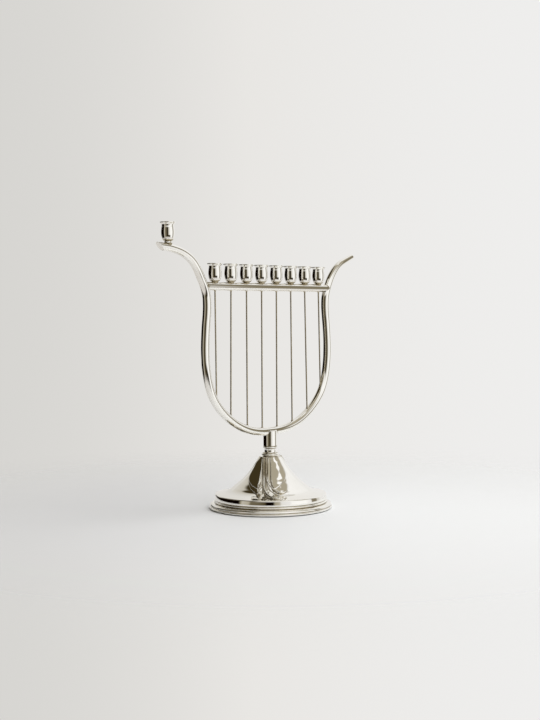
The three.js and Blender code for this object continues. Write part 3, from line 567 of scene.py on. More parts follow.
def bowed(start, end, bow, steps=8):
    """A run from start to end that bows out to one side by bow."""
    start, end = Vector(start), Vector(end)
    side = Vector((end.y - start.y, start.x - end.x)).normalized()
    run = []
    for step in range(steps + 1):
        t = step / steps
        run.append(start.lerp(end, t) - side * bow * 4 * t * (1 - t))
    return run


def new_mesh(name, vertices, faces, recess=None, sharp=0.7):
    """A smooth mesh with its doubles merged, its faces outward and its sharp edges marked."""
    mesh = bpy.data.meshes.new(name)
    mesh.from_pydata([tuple(v) for v in vertices], [], faces)
    if recess:
        shade = mesh.attributes.new("recess", "FLOAT", "POINT")
        shade.data.foreach_set("value", recess)
    body = bmesh.new()
    body.from_mesh(mesh)
    bmesh.ops.remove_doubles(body, verts=body.verts, dist=1e-7)
    bmesh.ops.dissolve_degenerate(body, edges=body.edges, dist=1e-7)
    bmesh.ops.recalc_face_normals(body, faces=body.faces)
    for face in body.faces:
        face.smooth = True
    for edge in body.edges:
        edge.smooth = len(edge.link_faces) != 2 or edge.calc_face_angle() < sharp
    body.to_mesh(mesh)
    body.free()
    return mesh


def spun_mesh(name, profile, sides, closed=False, recess=None, shape=None):
    """A (radius, height) profile turned round the Z axis. recess(radius, height) is how far polish
    fails to reach, and shape(x, y, z) gives a point's height."""
    vertices, faces, dull = [], [], []
    for radius, height in profile:
        for side in range(sides):
            angle = 2 * math.pi * side / sides
            x, y = radius * math.cos(angle), radius * math.sin(angle)
            vertices.append((x, y, shape(x, y, height) if shape else height))
            dull.append(recess(radius, height) if recess else 0.0)
    count = len(profile)
    for row in range(count if closed else count - 1):
        below, above = row * sides, (row + 1) % count * sides
        for side in range(sides):
            after = (side + 1) % sides
            faces.append((below + side, below + after, above + after, above + side))
    return new_mesh(name, vertices, faces, dull)


def grid_solid(name, front, back, recess=None):
    """A closed piece between two grids of points, as rows of equal length."""
    rows, columns = len(front), len(front[0])
    vertices = [p for row in front for p in row] + [p for row in back for p in row]
    count, faces = rows * columns, []
    for i in range(rows - 1):
        for j in range(columns - 1):
            a = i * columns + j
            b, c, d = a + 1, a + columns + 1, a + columns
            faces += [(a, d, c, b), (count + a, count + b, count + c, count + d)]
    rim = (
        [j for j in range(columns)] + [i * columns + columns - 1 for i in range(1, rows)]
        + [(rows - 1) * columns + j for j in range(columns - 2, -1, -1)]
        + [i * columns for i in range(rows - 2, 0, -1)])
    for a, b in zip(rim, [*rim[1:], rim[0]]):
        faces.append((a, b, count + b, count + a))
    dull = [recess(i, j) for i in range(rows) for j in range(columns)] if recess else None
    return new_mesh(name, vertices, faces, dull and dull + [1.0] * count)


def rod_tree():
    """Geometry Nodes that make a round rod along each line of a mesh. The line's points carry its
    thickness, its middle and along directions, and its slant at an oblique end."""
    found = bpy.data.node_groups.get("round rod")
    if found:
        return found
    tree = bpy.data.node_groups.new("round rod", "GeometryNodeTree")
    bench = Bench(tree)
    tree.interface.new_socket("Line", in_out="INPUT", socket_type="NodeSocketGeometry")
    tree.interface.new_socket("Sides", in_out="INPUT", socket_type="NodeSocketInt")
    tree.interface.new_socket("Finish", in_out="INPUT", socket_type="NodeSocketMaterial")
    tree.interface.new_socket("Rod", in_out="OUTPUT", socket_type="NodeSocketGeometry")
    given = bench.make("NodeGroupInput", out="Line")

    def carried(name, kind):
        return bench.make("GeometryNodeInputNamedAttribute", {"data_type": kind}, {"Name": name})

    def vector_maths(operation, first, second, out="Vector"):
        return bench.make(
            "ShaderNodeVectorMath", {"operation": operation}, {0: first, 1: second}, out=out)

    line = bench.make("GeometryNodeMeshToCurve", {}, {"Mesh": given})
    circle = bench.make(
        "GeometryNodeCurvePrimitiveCircle", {},
        {"Resolution": given.other("Sides"), "Radius": 1.0})
    thickness = carried("thickness", "FLOAT")
    tube = bench.make(
        "GeometryNodeCurveToMesh", {},
        {"Curve": line, "Profile Curve": circle, "Scale": thickness, "Fill Caps": True})
    offset = vector_maths(
        "SUBTRACT", bench.make("GeometryNodeInputPosition"), carried("middle", "FLOAT_VECTOR"))
    upward = vector_maths("DOT_PRODUCT", offset, carried("upward", "FLOAT_VECTOR"), out="Value")
    push = upward * carried("slant", "FLOAT") / thickness
    moved = bench.make(
        "ShaderNodeVectorMath", {"operation": "SCALE"},
        {0: carried("along", "FLOAT_VECTOR"), "Scale": push})
    slanted = bench.make("GeometryNodeSetPosition", {}, {"Geometry": tube, "Offset": moved})
    smooth = bench.make("GeometryNodeSetShadeSmooth", {}, {"Geometry": slanted})
    whole = bench.make("GeometryNodeRealizeInstances", {}, {"Geometry": smooth})
    finished = bench.make(
        "GeometryNodeSetMaterial", {}, {"Geometry": whole, "Material": given.other("Finish")})
    bench.make("NodeGroupOutput", {}, {"Rod": finished})
    return tree


def row_tree():
    """Geometry Nodes that stand copies of one form in a straight row."""
    tree = bpy.data.node_groups.new("row of cups", "GeometryNodeTree")
    bench = Bench(tree)
    for name, kind in (
            ("Start", "NodeSocketGeometry"), ("Form", "NodeSocketObject"),
            ("Count", "NodeSocketInt"), ("First Place", "NodeSocketVector"),
            ("Step", "NodeSocketVector"), ("Finish", "NodeSocketMaterial")):
        tree.interface.new_socket(name, in_out="INPUT", socket_type=kind)
    tree.interface.new_socket("Row", in_out="OUTPUT", socket_type="NodeSocketGeometry")
    given = bench.make("NodeGroupInput", out="Form")
    places = bench.make(
        "GeometryNodeMeshLine", {},
        {"Count": given.other("Count"), "Start Location": given.other("First Place"),
         "Offset": given.other("Step")})
    form = bench.make("GeometryNodeObjectInfo", {}, {"Object": given}, out="Geometry")
    stood = bench.make("GeometryNodeInstanceOnPoints", {}, {"Points": places, "Instance": form})
    whole = bench.make("GeometryNodeRealizeInstances", {}, {"Geometry": stood})
    finished = bench.make(
        "GeometryNodeSetMaterial", {}, {"Geometry": whole, "Material": given.other("Finish")})
    bench.make("NodeGroupOutput", {}, {"Row": finished})
    return tree


def grown(name, start, tree, inputs):
    """The plain mesh that a Geometry Nodes tree makes from a start mesh."""
    maker = bpy.data.objects.new(name + "_start", start)
    bpy.context.scene.collection.objects.link(maker)
    modifier = maker.modifiers.new("grow", "NODES")
    modifier.node_group = tree
    for item in tree.interface.items_tree:
        if item.in_out == "INPUT" and item.name in inputs:
            modifier[item.identifier] = inputs[item.name]
    bpy.context.view_layer.update()
    seen = maker.evaluated_get(bpy.context.evaluated_depsgraph_get())
    mesh = bpy.data.meshes.new_from_object(seen)
    mesh.name = name
    maker.modifiers.remove(modifier)
    bpy.data.objects.remove(maker)
    return mesh


def rod_mesh(name, lines, sides, recess=None, sharp=0.7):
    """Round rods along lines. A line is a list of (point, thickness, slant) from end to end, and
    recess(point) is how far polish fails to reach."""
    start = bpy.data.meshes.new(name + "_lines")
    points, edges, facts = [], [], {"thickness": [], "slant": []}
    vectors = {"middle": [], "along": [], "upward": []}
    for line in lines:
        first, last = len(points), len(line) - 1
        for k, (point, thickness, slant) in enumerate(line):
            along = (line[min(k + 1, last)][0] - line[max(k - 1, 0)][0]).normalized()
            across = along.cross(Vector((0, 1, 0)))
            points.append(tuple(point))
            facts["thickness"].append(thickness)
            facts["slant"].append(slant)
            vectors["middle"] += tuple(point)
            vectors["along"] += tuple(along)
            vectors["upward"] += tuple(across.normalized() if across.length > 1e-6 else along)
        edges += [(first + k, first + k + 1) for k in range(last)]
    start.from_pydata(points, edges, [])
    for fact, values in facts.items():
        start.attributes.new(fact, "FLOAT", "POINT").data.foreach_set("value", values)
    for fact, values in vectors.items():
        start.attributes.new(fact, "FLOAT_VECTOR", "POINT").data.foreach_set("vector", values)
    grown_mesh = grown(name, start, rod_tree(), {"Sides": sides, "Finish": silver_finish()})
    vertices = [v.co.copy() for v in grown_mesh.vertices]
    faces = [tuple(face.vertices) for face in grown_mesh.polygons]
    dull = [recess(v) for v in vertices] if recess else None
    bpy.data.meshes.remove(grown_mesh)
    return new_mesh(name, vertices, faces, dull, sharp)


def add_piece(name, mesh, nodes, finish, slot):
    """Shows a mesh as a piece of the menorah, in place of its nodes."""
    mesh.materials.clear()
    mesh.materials.append(finish)
    piece = bpy.data.objects.new(name, mesh)
    bpy.context.scene.collection.objects.link(piece)
    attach(piece, "root")
    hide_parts(*nodes)
    return piece


class Trumpet:
    """The foot's trumpet, which the leaves lie on."""

    def __init__(self, sizes):
        self.top, self.height = sizes.top, sizes.top - sizes.tier_top
        self.top_radius, self.gain = sizes.top_radius, sizes.tier_radius - sizes.top_radius

    def radius(self, down):
        return self.top_radius + self.gain * read_shares(TRUMPET_SHARES, down)

    def over(self, down, degrees, standoff):
        """A point over the skin: down is the share of the height from the top."""
        low, high = max(down - 0.0025, 0), min(down + 0.0025, 1)
        rise = (self.radius(high) - self.radius(low)) / ((high - low) * self.height)
        slope = math.hypot(1, rise)
        radius = self.radius(down) + standoff / slope
        angle = math.radians(degrees)
        return Vector((
            radius * math.sin(angle), -radius * math.cos(angle),
            self.top - down * self.height + standoff * rise / slope))


# Pieces


class MENORAH_OT_foot(bpy.types.Operator):
    """Spin the stepped trumpet foot from one sheet"""

    bl_idname = "menorah.foot"
    bl_label = "Foot"

    def execute(self, context):
        s = context.scene.menorah_foot
        trumpet = Trumpet(s)
        bore = 2.3 * MM
        steps = 90
        outer = [Vector((bore, s.top))]
        corner = rounded(
            [(bore, s.top), (s.top_radius, s.top),
             (trumpet.radius(0.03), s.top - 0.03 * trumpet.height)], [0, 0.5 * MM, 0])
        outer += corner[1:-1]
        for step in range(3, steps - 1):
            skin = trumpet.over(step / steps, 0, 0)
            outer.append(Vector((-skin.y, skin.z)))
        tier, step_edge = s.tier_radius, s.step_radius
        groove = 0.75 * MM
        outer += rounded(
            [(tier - 2.2 * MM, s.tier_top + 0.1 * MM), (tier - 0.35 * MM, s.tier_top - 0.2 * MM),
             (tier + 0.25 * MM, blend_between(s.tier_top, s.wall_foot, 0.5)),
             (tier + 0.4 * MM, s.wall_foot + 0.3 * MM), (tier - groove, s.wall_foot + 0.1 * MM)],
            [0, 1.5 * MM, 1.4 * MM, 0.3 * MM, 0], 8)
        bead_top, bead_foot = s.wall_foot - 0.05 * MM, s.step_top + 0.1 * MM
        outer += bowed((tier - groove, bead_top), (tier - 0.3 * MM, bead_foot), 1.25 * MM, 14)
        outer += rounded(
            [(tier - 0.2 * MM, s.step_top), (57.0 * MM, s.step_top - 0.2 * MM),
             (58.9 * MM, 5.0 * MM), (step_edge, 3.5 * MM),
             (step_edge - groove, s.roll_top + 0.1 * MM)],
            [0, 1.2 * MM, 0.9 * MM, 0.45 * MM, 0], 8)
        outer += bowed(
            (step_edge - groove, s.roll_top), (step_edge - 0.6 * MM, s.lift),
            s.radius - step_edge + 0.6 * MM, 18)
        well = step_edge - groove - s.wall
        lining = [
            (well, s.lift), (well, s.roll_top + 0.6 * MM), (tier - groove - s.wall, s.step_top),
            (tier - groove - s.wall, s.tier_top - s.wall - 0.6 * MM)]
        for step in range(30, 0, -1):
            inside = trumpet.over(step / 31, 0, -s.wall)
            lining.append((-inside.y, inside.z))
        lining.append((s.top_radius - s.wall / 2, s.top - s.wall))
        lining.append((bore, s.top - s.wall))
        profile = [tuple(p) for p in outer] + lining
        grooves = [
            (tier - groove, s.wall_foot, 1.0), (tier - 0.25 * MM, s.step_top, 0.9),
            (step_edge - groove, s.roll_top, 1.0), (s.top_radius, s.top, 0.8)]

        def recess(radius, height):
            near = [
                strength * max(0.0, 1 - math.hypot(radius - r, height - z) / (0.9 * MM))
                for r, z, strength in grooves]
            return max(near)

        mesh = spun_mesh("foot", profile, 192, closed=True, recess=recess)
        add_piece("foot", mesh, ["foot_shell"], silver_finish(), SILVER_SLOT)
        return {"FINISHED"}


class MENORAH_OT_underside(bpy.types.Operator):
    """Lay the felt pad and give the steel inside the foot its finish"""

    bl_idname = "menorah.underside"
    bl_label = "Underside"

    def execute(self, context):
        low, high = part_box("felt_pad")
        edge, top = high.x, high.z
        body = bmesh.new()
        rings, sides = 44, 120
        rows = []
        for face_up in (True, False):
            for ring in range(rings + 1):
                share = ring / rings if face_up else 1 - ring / rings
                radius = edge * share
                row = []
                for side in range(sides):
                    angle = 2 * math.pi * side / sides
                    ragged = 1 + math.sin(37 * angle) * math.cos(11 * angle)
                    fray = 1 - 0.0016 * (share > 0.98) * ragged
                    tuft = 0.05 * MM * (1 + math.sin(13 * angle + 9 * share) * math.cos(60 * share))
                    soft = 0.3 * MM * max(0.0, (share - 0.99) / 0.01)
                    height = top - soft - tuft if face_up else low.z + soft
                    row.append(body.verts.new((
                        radius * fray * math.cos(angle), radius * fray * math.sin(angle), height)))
                rows.append(row)
        for one, two in zip(rows, rows[1:]):
            for side in range(sides):
                after = (side + 1) % sides
                body.faces.new((one[side], two[side], two[after], one[after]))
        mesh = bpy.data.meshes.new("felt")
        body.to_mesh(mesh)
        body.free()
        points = [v.co.copy() for v in mesh.vertices]
        faces = [tuple(f.vertices) for f in mesh.polygons]
        bpy.data.meshes.remove(mesh)
        felt = add_piece(
            "felt", new_mesh("felt", points, faces), ["felt_pad"], felt_finish(), FELT_SLOT)
        steel = steel_finish()
        for node in ("bottom_plate", "tie_rod", "tie_washer", "tie_nut"):
            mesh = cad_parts[node].data
            mesh.materials.clear()
            mesh.materials.append(steel)
        return {"FINISHED"}


class MENORAH_OT_stack(bpy.types.Operator):
    """Turn the collar ring, the neck ferrule and the stem"""

    bl_idname = "menorah.stack"
    bl_label = "Collar, Ferrule and Stem"

    def execute(self, context):
        s = context.scene.menorah_stack
        harp = context.scene.menorah_harp
        foot_top = context.scene.menorah_foot.top
        bore = 2.3 * MM
        silver = silver_finish()

        def near(heights):
            return lambda radius, height: max(
                max(0.0, 1 - abs(height - z) / (0.5 * MM)) for z in heights)

        collar = [(bore, foot_top)]
        steps = 20
        for step in range(steps + 1):
            t = step / steps
            bulge = math.sin(math.pi * t) ** 0.8
            collar.append((
                blend_between(s.collar_end_radius, s.collar_radius, bulge),
                blend_between(foot_top, s.collar_top, t)))
        collar.append((bore, s.collar_top))
        add_piece(
            "collar", spun_mesh(
                "collar", collar, 96, closed=True, recess=near([foot_top, s.collar_top])),
            ["collar_ring"], silver, SILVER_SLOT)

        bead_foot = s.ferrule_top - s.bead_height
        ferrule = [(bore, s.collar_top)]
        for step in range(steps + 1):
            t = step / steps
            waist = 1 - (2 * t - 1) ** 4
            ferrule.append((
                blend_between(s.ferrule_radius, s.waist_radius, waist),
                blend_between(s.collar_top, bead_foot, t)))
        for step in range(1, steps + 1):
            t = step / steps
            bulge = math.sin(math.pi * t) ** 0.6
            ferrule.append((
                blend_between(s.ferrule_radius, s.bead_radius, bulge),
                blend_between(bead_foot, s.ferrule_top, t)))
        ferrule.append((bore, s.ferrule_top))
        add_piece(
            "ferrule", spun_mesh(
                "ferrule", ferrule, 96, closed=True,
                recess=near([s.collar_top, bead_foot, s.ferrule_top])),
            ["neck_ferrule"], silver, SILVER_SLOT)

        rod, centre = harp.rod_radius + 0.03 * MM, harp.floor
        rings, rim = 40, 0.3 * MM
        stem = [(bore, s.ferrule_top), (s.stem_radius, s.ferrule_top)]
        stem += [
            (s.stem_radius, blend_between(s.ferrule_top, s.stem_top - rim, k / 12))
            for k in range(1, 13)]
        stem += [
            (s.stem_radius - rim + rim * math.cos(math.pi / 8 * k),
             s.stem_top - rim + rim * math.sin(math.pi / 8 * k))
            for k in range(1, 5)]
        stem += [
            ((s.stem_radius - rim) * ring / rings, s.stem_top) for ring in range(rings - 1, -1, -1)]
        saddle = solder_saddle(rod, centre, s.stem_top)
        body = spun_mesh(
            "stem", stem, 192, recess=near([s.ferrule_top]), shape=lambda x, y, z: saddle(y, z))
        seal(body)
        add_piece("stem_post", body, ["stem"], silver, SILVER_SLOT)
        return {"FINISHED"}


def solder_saddle(rod, centre, top):
    """The stem's top: two cheeks with the rod between them, and a small rise of solder."""

    def height(y, z):
        if abs(y) < rod:
            return min(z, centre - math.sqrt(rod**2 - y**2))
        solder = 0.5 * MM * math.exp(-((abs(y) - rod) / (0.6 * MM)) ** 2)
        return z + solder if z > top - 0.1 * MM else z

    return height


def seal(mesh):
    """Closes the open ends of a spun mesh."""
    body = bmesh.new()
    body.from_mesh(mesh)
    edges = [edge for edge in body.edges if edge.is_boundary]
    if edges:
        bmesh.ops.holes_fill(body, edges=edges, sides=0)
        bmesh.ops.recalc_face_normals(body, faces=body.faces)
    body.to_mesh(mesh)
    body.free()


def harp_line(s, steps):
    """The rod's centre from the left tip to the right one, with its thickness and slant."""
    bar_end = s.half_width * HARP_SHARES[-1][0]
    rise = s.bar_height - s.floor

    def arm(side, reach, lift, shares):
        return [
            (side * (bar_end + (reach - bar_end) * a), 0.0, s.bar_height + lift * b)
            for a, b in shares]

    def half(side, shares):
        return [(side * s.half_width * a, 0.0, s.floor + rise * b) for a, b in shares]

    run = curve_through(
        arm(-1, s.left_reach, s.left_rise, LEFT_ARM_SHARES)[::-1] + half(-1, HARP_SHARES[1:])[::-1]
        + half(1, HARP_SHARES) + arm(1, s.right_reach, s.right_rise, RIGHT_ARM_SHARES), 24)

    def places(whole):
        fine = [0.0, 0.03, 0.1, 0.22, 0.4, 0.7, 1.2, 2.0]
        ends = [f * MM for f in fine]
        inner = [3 * MM + (whole - 6 * MM) * k / steps for k in range(steps + 1)]
        return [*ends, *inner, *[whole - e for e in reversed(ends)]]

    points = evenly(run, places)
    line, travelled = [], 0.0
    total = sum((b - a).length for a, b in zip(points, points[1:]))
    for k, point in enumerate(points):
        travelled += (point - points[k - 1]).length if k else 0.0
        beyond = point.z - (s.bar_height - s.rod_radius)
        thickness = s.rod_radius
        if beyond > 0:
            rooted = min(beyond / (2 * s.rod_radius), 1)
            left = point.x < 0
            reach = s.left_reach if left else s.right_reach
            root = s.rod_radius if left else s.right_root
            tip = s.left_tip if left else s.right_tip
            out = min(max((abs(point.x) - bar_end) / (reach - bar_end), 0), 1)
            thickness = blend_between(blend_between(s.rod_radius, root, rooted), tip, out)
        from_left, from_right = travelled, total - travelled
        for distance, curve in ((from_left, 0.3 * MM), (from_right, 1.2 * MM)):
            if distance < curve:
                thickness -= curve - math.sqrt(max(curve**2 - (curve - distance) ** 2, 0.0))
        slant = -s.left_slant * max(0.0, 1 - from_left / (9 * MM))
        line.append((point, thickness, slant))
    return line


class MENORAH_OT_harp(bpy.types.Operator):
    """Bend the harp and its two arms from one rod"""

    bl_idname = "menorah.harp"
    bl_label = "Harp Rod"

    def execute(self, context):
        s, stack = context.scene.menorah_harp, context.scene.menorah_stack

        def recess(point):
            over = max(0.0, point.z - stack.stem_top - 0.4 * MM)
            beyond = max(0.0, abs(point.x) - stack.stem_radius)
            return 0.6 * max(0.0, 1 - math.hypot(over, beyond) / (1.1 * MM))

        mesh = rod_mesh("harp", [harp_line(s, 430)], 56, recess)
        add_piece("harp", mesh, ["harp_frame"], silver_finish(), SILVER_SLOT)
        return {"FINISHED"}


class MENORAH_OT_crossbar(bpy.types.Operator):
    """Put the crossbar between the harp's sides"""

    bl_idname = "menorah.crossbar"
    bl_label = "Crossbar"

    def execute(self, context):
        s = context.scene.menorah_harp
        end = s.half_width * HARP_SHARES[-1][0] - 0.6 * MM
        line = [
            (Vector((blend_between(-end, end, k / 120), 0, s.bar_height)), s.bar_radius, 0.0)
            for k in range(121)]

        def recess(point):
            return 0.6 * max(0.0, 1 - (end - 2.5 * MM - abs(point.x)) / (2.0 * MM))

        mesh = rod_mesh("crossbar", [line], 56, recess)
        add_piece("bar", mesh, ["crossbar"], silver_finish(), SILVER_SLOT)
        return {"FINISHED"}


class MENORAH_OT_strings(bpy.types.Operator):
    """Stretch the strings from the crossbar to the harp"""

    bl_idname = "menorah.strings"
    bl_label = "Strings"

    def execute(self, context):
        s = context.scene.menorah_harp
        inner = []
        line = [point for point, _, _ in harp_line(s, 900)]
        for before, point, after in zip(line, line[1:], line[2:]):
            along = (after - before).normalized()
            edge = point + Vector((-along.z, 0, along.x)) * s.rod_radius
            if edge.z < (s.bar_height + s.floor) / 2:
                inner.append(edge)
        lines = []
        for k in range(s.strings):
            x = (k - (s.strings - 1) / 2) * s.pitch
            lean = STRING_LEAN_SHARES[k % len(STRING_LEAN_SHARES)] * s.pitch
            foot = min(inner, key=lambda edge: abs(edge.x - x - lean))
            top = Vector((x, 0, s.bar_height - s.bar_radius))
            span = (foot - top).length
            down = (foot - top) / span
            places = [-1.4, -0.3, 0.0, 0.15, 0.35, 0.6, 1.0, 1.6]
            string = []
            for place in [p * MM for p in places] + [
                    blend_between(2 * MM, span - 2 * MM, j / 24) for j in range(25)] + [
                    span - p * MM for p in reversed(places)]:
                clear = min(max(place, 0.0), max(span - place, 0.0))
                solder = 0.45 * MM * max(0.0, 1 - clear / MM) ** 2
                string.append((top + down * place, s.string_radius + solder, 0.0))
            lines.append(string)

        def recess(point):
            high = s.bar_height - s.bar_radius
            return 0.85 + 0.15 * max(0.0, 1 - (high - point.z) / (1.5 * MM))

        mesh = rod_mesh("strings", lines, 20, recess)
        names = [f"string_{k + 1}" for k in range(s.strings)]
        add_piece("strings", mesh, names, silver_finish(), SILVER_SLOT)
        return {"FINISHED"}


def cup_mesh(name, s, sides, bar_radius=None):
    """One turned cup on its seat at height 0. On a round bar its foot is hollowed to the bar."""
    lip = 1.2 * MM
    rim, neck, belly = s.rim_radius, s.neck_radius, s.belly_radius
    bore, wall = s.bore_radius, 0.7 * MM
    body = curve_through(
        [(s.foot_radius, 0.3 * MM, 0), (0.64 * belly, 0.7 * MM, 0), (0.8 * belly, 1.75 * MM, 0),
         (0.93 * belly, 3.9 * MM, 0), (belly, s.height * 0.48, 0),
         ((belly + neck) / 2, 11.9 * MM, 0), (neck, s.height - 2 * lip, 0),
         (neck + 0.45 * (rim - neck), s.height - 1.25 * lip, 0),
         (rim, s.height - 0.62 * lip, 0)], 10)
    profile = [(s.foot_radius + 0.1 * MM, 0.0), (s.foot_radius, 0.15 * MM)]
    profile += [(p.x, p.y) for p in body]
    edge = 0.22 * MM
    for k in range(7):
        angle = math.pi / 2 * k / 6
        profile.append(
            (rim - edge + edge * math.cos(angle), s.height - edge + edge * math.sin(angle)))
    for k in range(7):
        angle = math.pi / 2 + math.pi / 2 * k / 6
        profile.append((
            rim - wall + edge + edge * math.cos(angle), s.height - edge + edge * math.sin(angle)))
    inside = curve_through(
        [(rim - wall, s.height - 1.5 * edge, 0), ((rim - wall + bore) / 2, s.height - lip, 0),
         (bore, s.height - 2.5 * lip, 0)], 8)
    profile += [(p.x, p.y) for p in inside]
    profile += [
        (bore, blend_between(s.height - 3 * MM, s.bore_floor + 0.6 * MM, k / 6))
        for k in range(1, 7)]
    profile += [
        (bore - 0.15 * MM, s.bore_floor + 0.15 * MM), (bore - 0.6 * MM, s.bore_floor),
        (bore * 0.5, s.bore_floor), (0.0, s.bore_floor)]

    def recess(radius, height):
        foot = max(0.0, 1 - height / (0.7 * MM)) if radius > 2 * MM else 0.0
        inside_bore = radius < bore + 0.05 * MM
        floor = max(0.0, 1 - (height - s.bore_floor) / (6 * MM)) if inside_bore else 0.0
        return max(0.5 * foot, 0.6 * floor)

    def on_bar(x, y, z):
        if bar_radius is None or z > 0.1 * MM:
            return z
        return z - bar_radius + math.sqrt(max(bar_radius**2 - y**2, 0.0))

    mesh = spun_mesh(name, profile, sides, recess=recess, shape=on_bar)
    seal(mesh)
    return mesh


class MENORAH_OT_cups(bpy.types.Operator):
    """Stand the row of cups on the crossbar"""

    bl_idname = "menorah.cups"
    bl_label = "Cups"

    def execute(self, context):
        s, harp = context.scene.menorah_cups, context.scene.menorah_harp
        form = bpy.data.objects.new("cup_form", cup_mesh("cup_form", s, 72, harp.bar_radius))
        first = (-(harp.strings - 1) / 2 * harp.pitch, 0.0, s.seat)
        start = bpy.data.meshes.new("cups_start")
        mesh = grown("cups", start, row_tree(), {
            "Form": form, "Count": harp.strings, "First Place": first,
            "Step": (harp.pitch, 0.0, 0.0), "Finish": silver_finish()})
        bpy.data.objects.remove(form)
        names = [f"cup_{k + 1}" for k in range(harp.strings)]
        add_piece("cups", mesh, names, silver_finish(), SILVER_SLOT)
        return {"FINISHED"}


class MENORAH_OT_raised_cup(bpy.types.Operator):
    """Stand the raised cup on the left arm, on its small stand"""

    bl_idname = "menorah.raised_cup"
    bl_label = "Raised Cup"

    def execute(self, context):
        s = context.scene.menorah_cups
        silver = silver_finish()
        cup = cup_mesh("raised_cup", s, 72)
        cup.transform(Matrix.Translation((s.raised_x, 0.0, s.raised_seat)))
        add_piece("raised_cup", cup, ["shamash_cup"], silver, SILVER_SLOT)
        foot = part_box("shamash_stand")[0].z
        flare = 0.35 * MM
        profile = [
            (0.0, foot), (s.stand_radius, foot), (s.stand_radius + flare, s.stand_foot),
            (s.stand_radius + 0.1 * MM, s.stand_foot + 0.35 * MM),
            (s.stand_radius, s.raised_seat - 0.5 * MM),
            (s.stand_radius - 0.05 * MM, s.raised_seat - 0.12 * MM),
            (s.stand_radius - 0.2 * MM, s.raised_seat), (0.0, s.raised_seat)]
        stand = spun_mesh(
            "stand", profile, 72,
            recess=lambda radius, height: 0.7 * max(0.0, 1 - (height - s.stand_foot) / (0.8 * MM)))
        stand.transform(Matrix.Translation((s.raised_x, 0.0, 0.0)))
        add_piece("raised_cup_stand", stand, ["shamash_stand"], silver, SILVER_SLOT)
        return {"FINISHED"}


def leaf_mesh(name, trumpet, turn, side, swings, widths, half_width, foot, edge, bulge, base):
    """A smooth, pillowed leaf lying on the trumpet, to one side of the spray's middle."""
    rows, columns = 64, 44
    top_down = 0.6 * MM / trumpet.height
    foot_down = (trumpet.top - foot) / trumpet.height
    length_down = (foot_down - top_down) * trumpet.height
    rim = min(0.9 * MM, 0.8 * edge)
    front, back, dull = [], [], []
    for i in range(rows + 1):
        share = 1 - (1 - i / rows) ** 1.35
        down = blend_between(top_down, foot_down, share)
        radius = trumpet.radius(down)
        half = half_width * read_shares(widths, share)
        lift = read_shares(LEAF_THICKNESS_SHARES, share)
        middle = turn + side * 30.0 * read_shares(swings, share)
        front_row, back_row, dull_row = [], [], []
        for j in range(columns + 1):
            v = math.sin(math.pi / 2 * (2 * j / columns - 1))
            degrees = middle + math.degrees(v * half / radius)
            inward = min((1 - abs(v)) * half, (1 - share) * length_down * 1.3)
            drop = rim - math.sqrt(max(rim**2 - (rim - min(inward, rim)) ** 2, 0.0))
            flattened = 0.1 * (v * half) ** 2 / (2 * radius)
            height = (edge + bulge * (1 - v * v)) * lift + flattened - drop * min(1.0, lift)
            front_row.append(trumpet.over(down, degrees, base + max(height, 0.15 * MM)))
            back_row.append(trumpet.over(down, degrees, 0.02 * MM))
            rim_dull = 0.5 * max(0.0, 1 - inward / (0.35 * MM))
            dull_row.append(rim_dull + 0.4 * max(0.0, 1 - share / 0.06))
        front.append(front_row)
        back.append(back_row)
        dull.append(dull_row)
    return grid_solid(name, front, back, recess=lambda i, j: dull[i][j])


def tendril_line(trumpet, s, turn, swings, root, tip, tapers=TENDRIL_TAPER_SHARES, steps=150):
    first, last = swings[0][0], swings[-1][0]
    line = []
    for k in range(steps + 1):
        share = k / steps
        down = blend_between(first, last, 1 - (1 - share) ** 1.8)
        thickness = blend_between(root, tip, read_shares(tapers, share))
        lift = s.tendril_lift * read_shares(TENDRIL_LIFT_SHARES, down)
        point = trumpet.over(down, turn + 20.0 * read_shares(swings, down), lift)
        line.append([point, thickness, 0.0])
    for ends in (line, line[::-1]):
        travelled = 0.0
        for k, entry in enumerate(ends):
            travelled += (entry[0] - ends[k - 1][0]).length if k else 0.0
            curve = 0.85 * entry[1]
            if travelled < curve:
                entry[1] *= max(0.12, math.sqrt(1 - (1 - travelled / curve) ** 2))
    return line


def darker_towards_top(stalk):
    """How dull a tendril is at a point: darker over its upper part, near the collar, and bright from
    halfway down.
    """
    top, low = stalk[0][0].z, min(point.z for point, thickness, slant in stalk)
    darkest, bright_below, fade = 0.62, 0.38, 0.2

    def darkened(point):
        share = (point.z - low) / (top - low)
        return darkest * min(1.0, max(0.0, (share - bright_below) / fade))

    return darkened


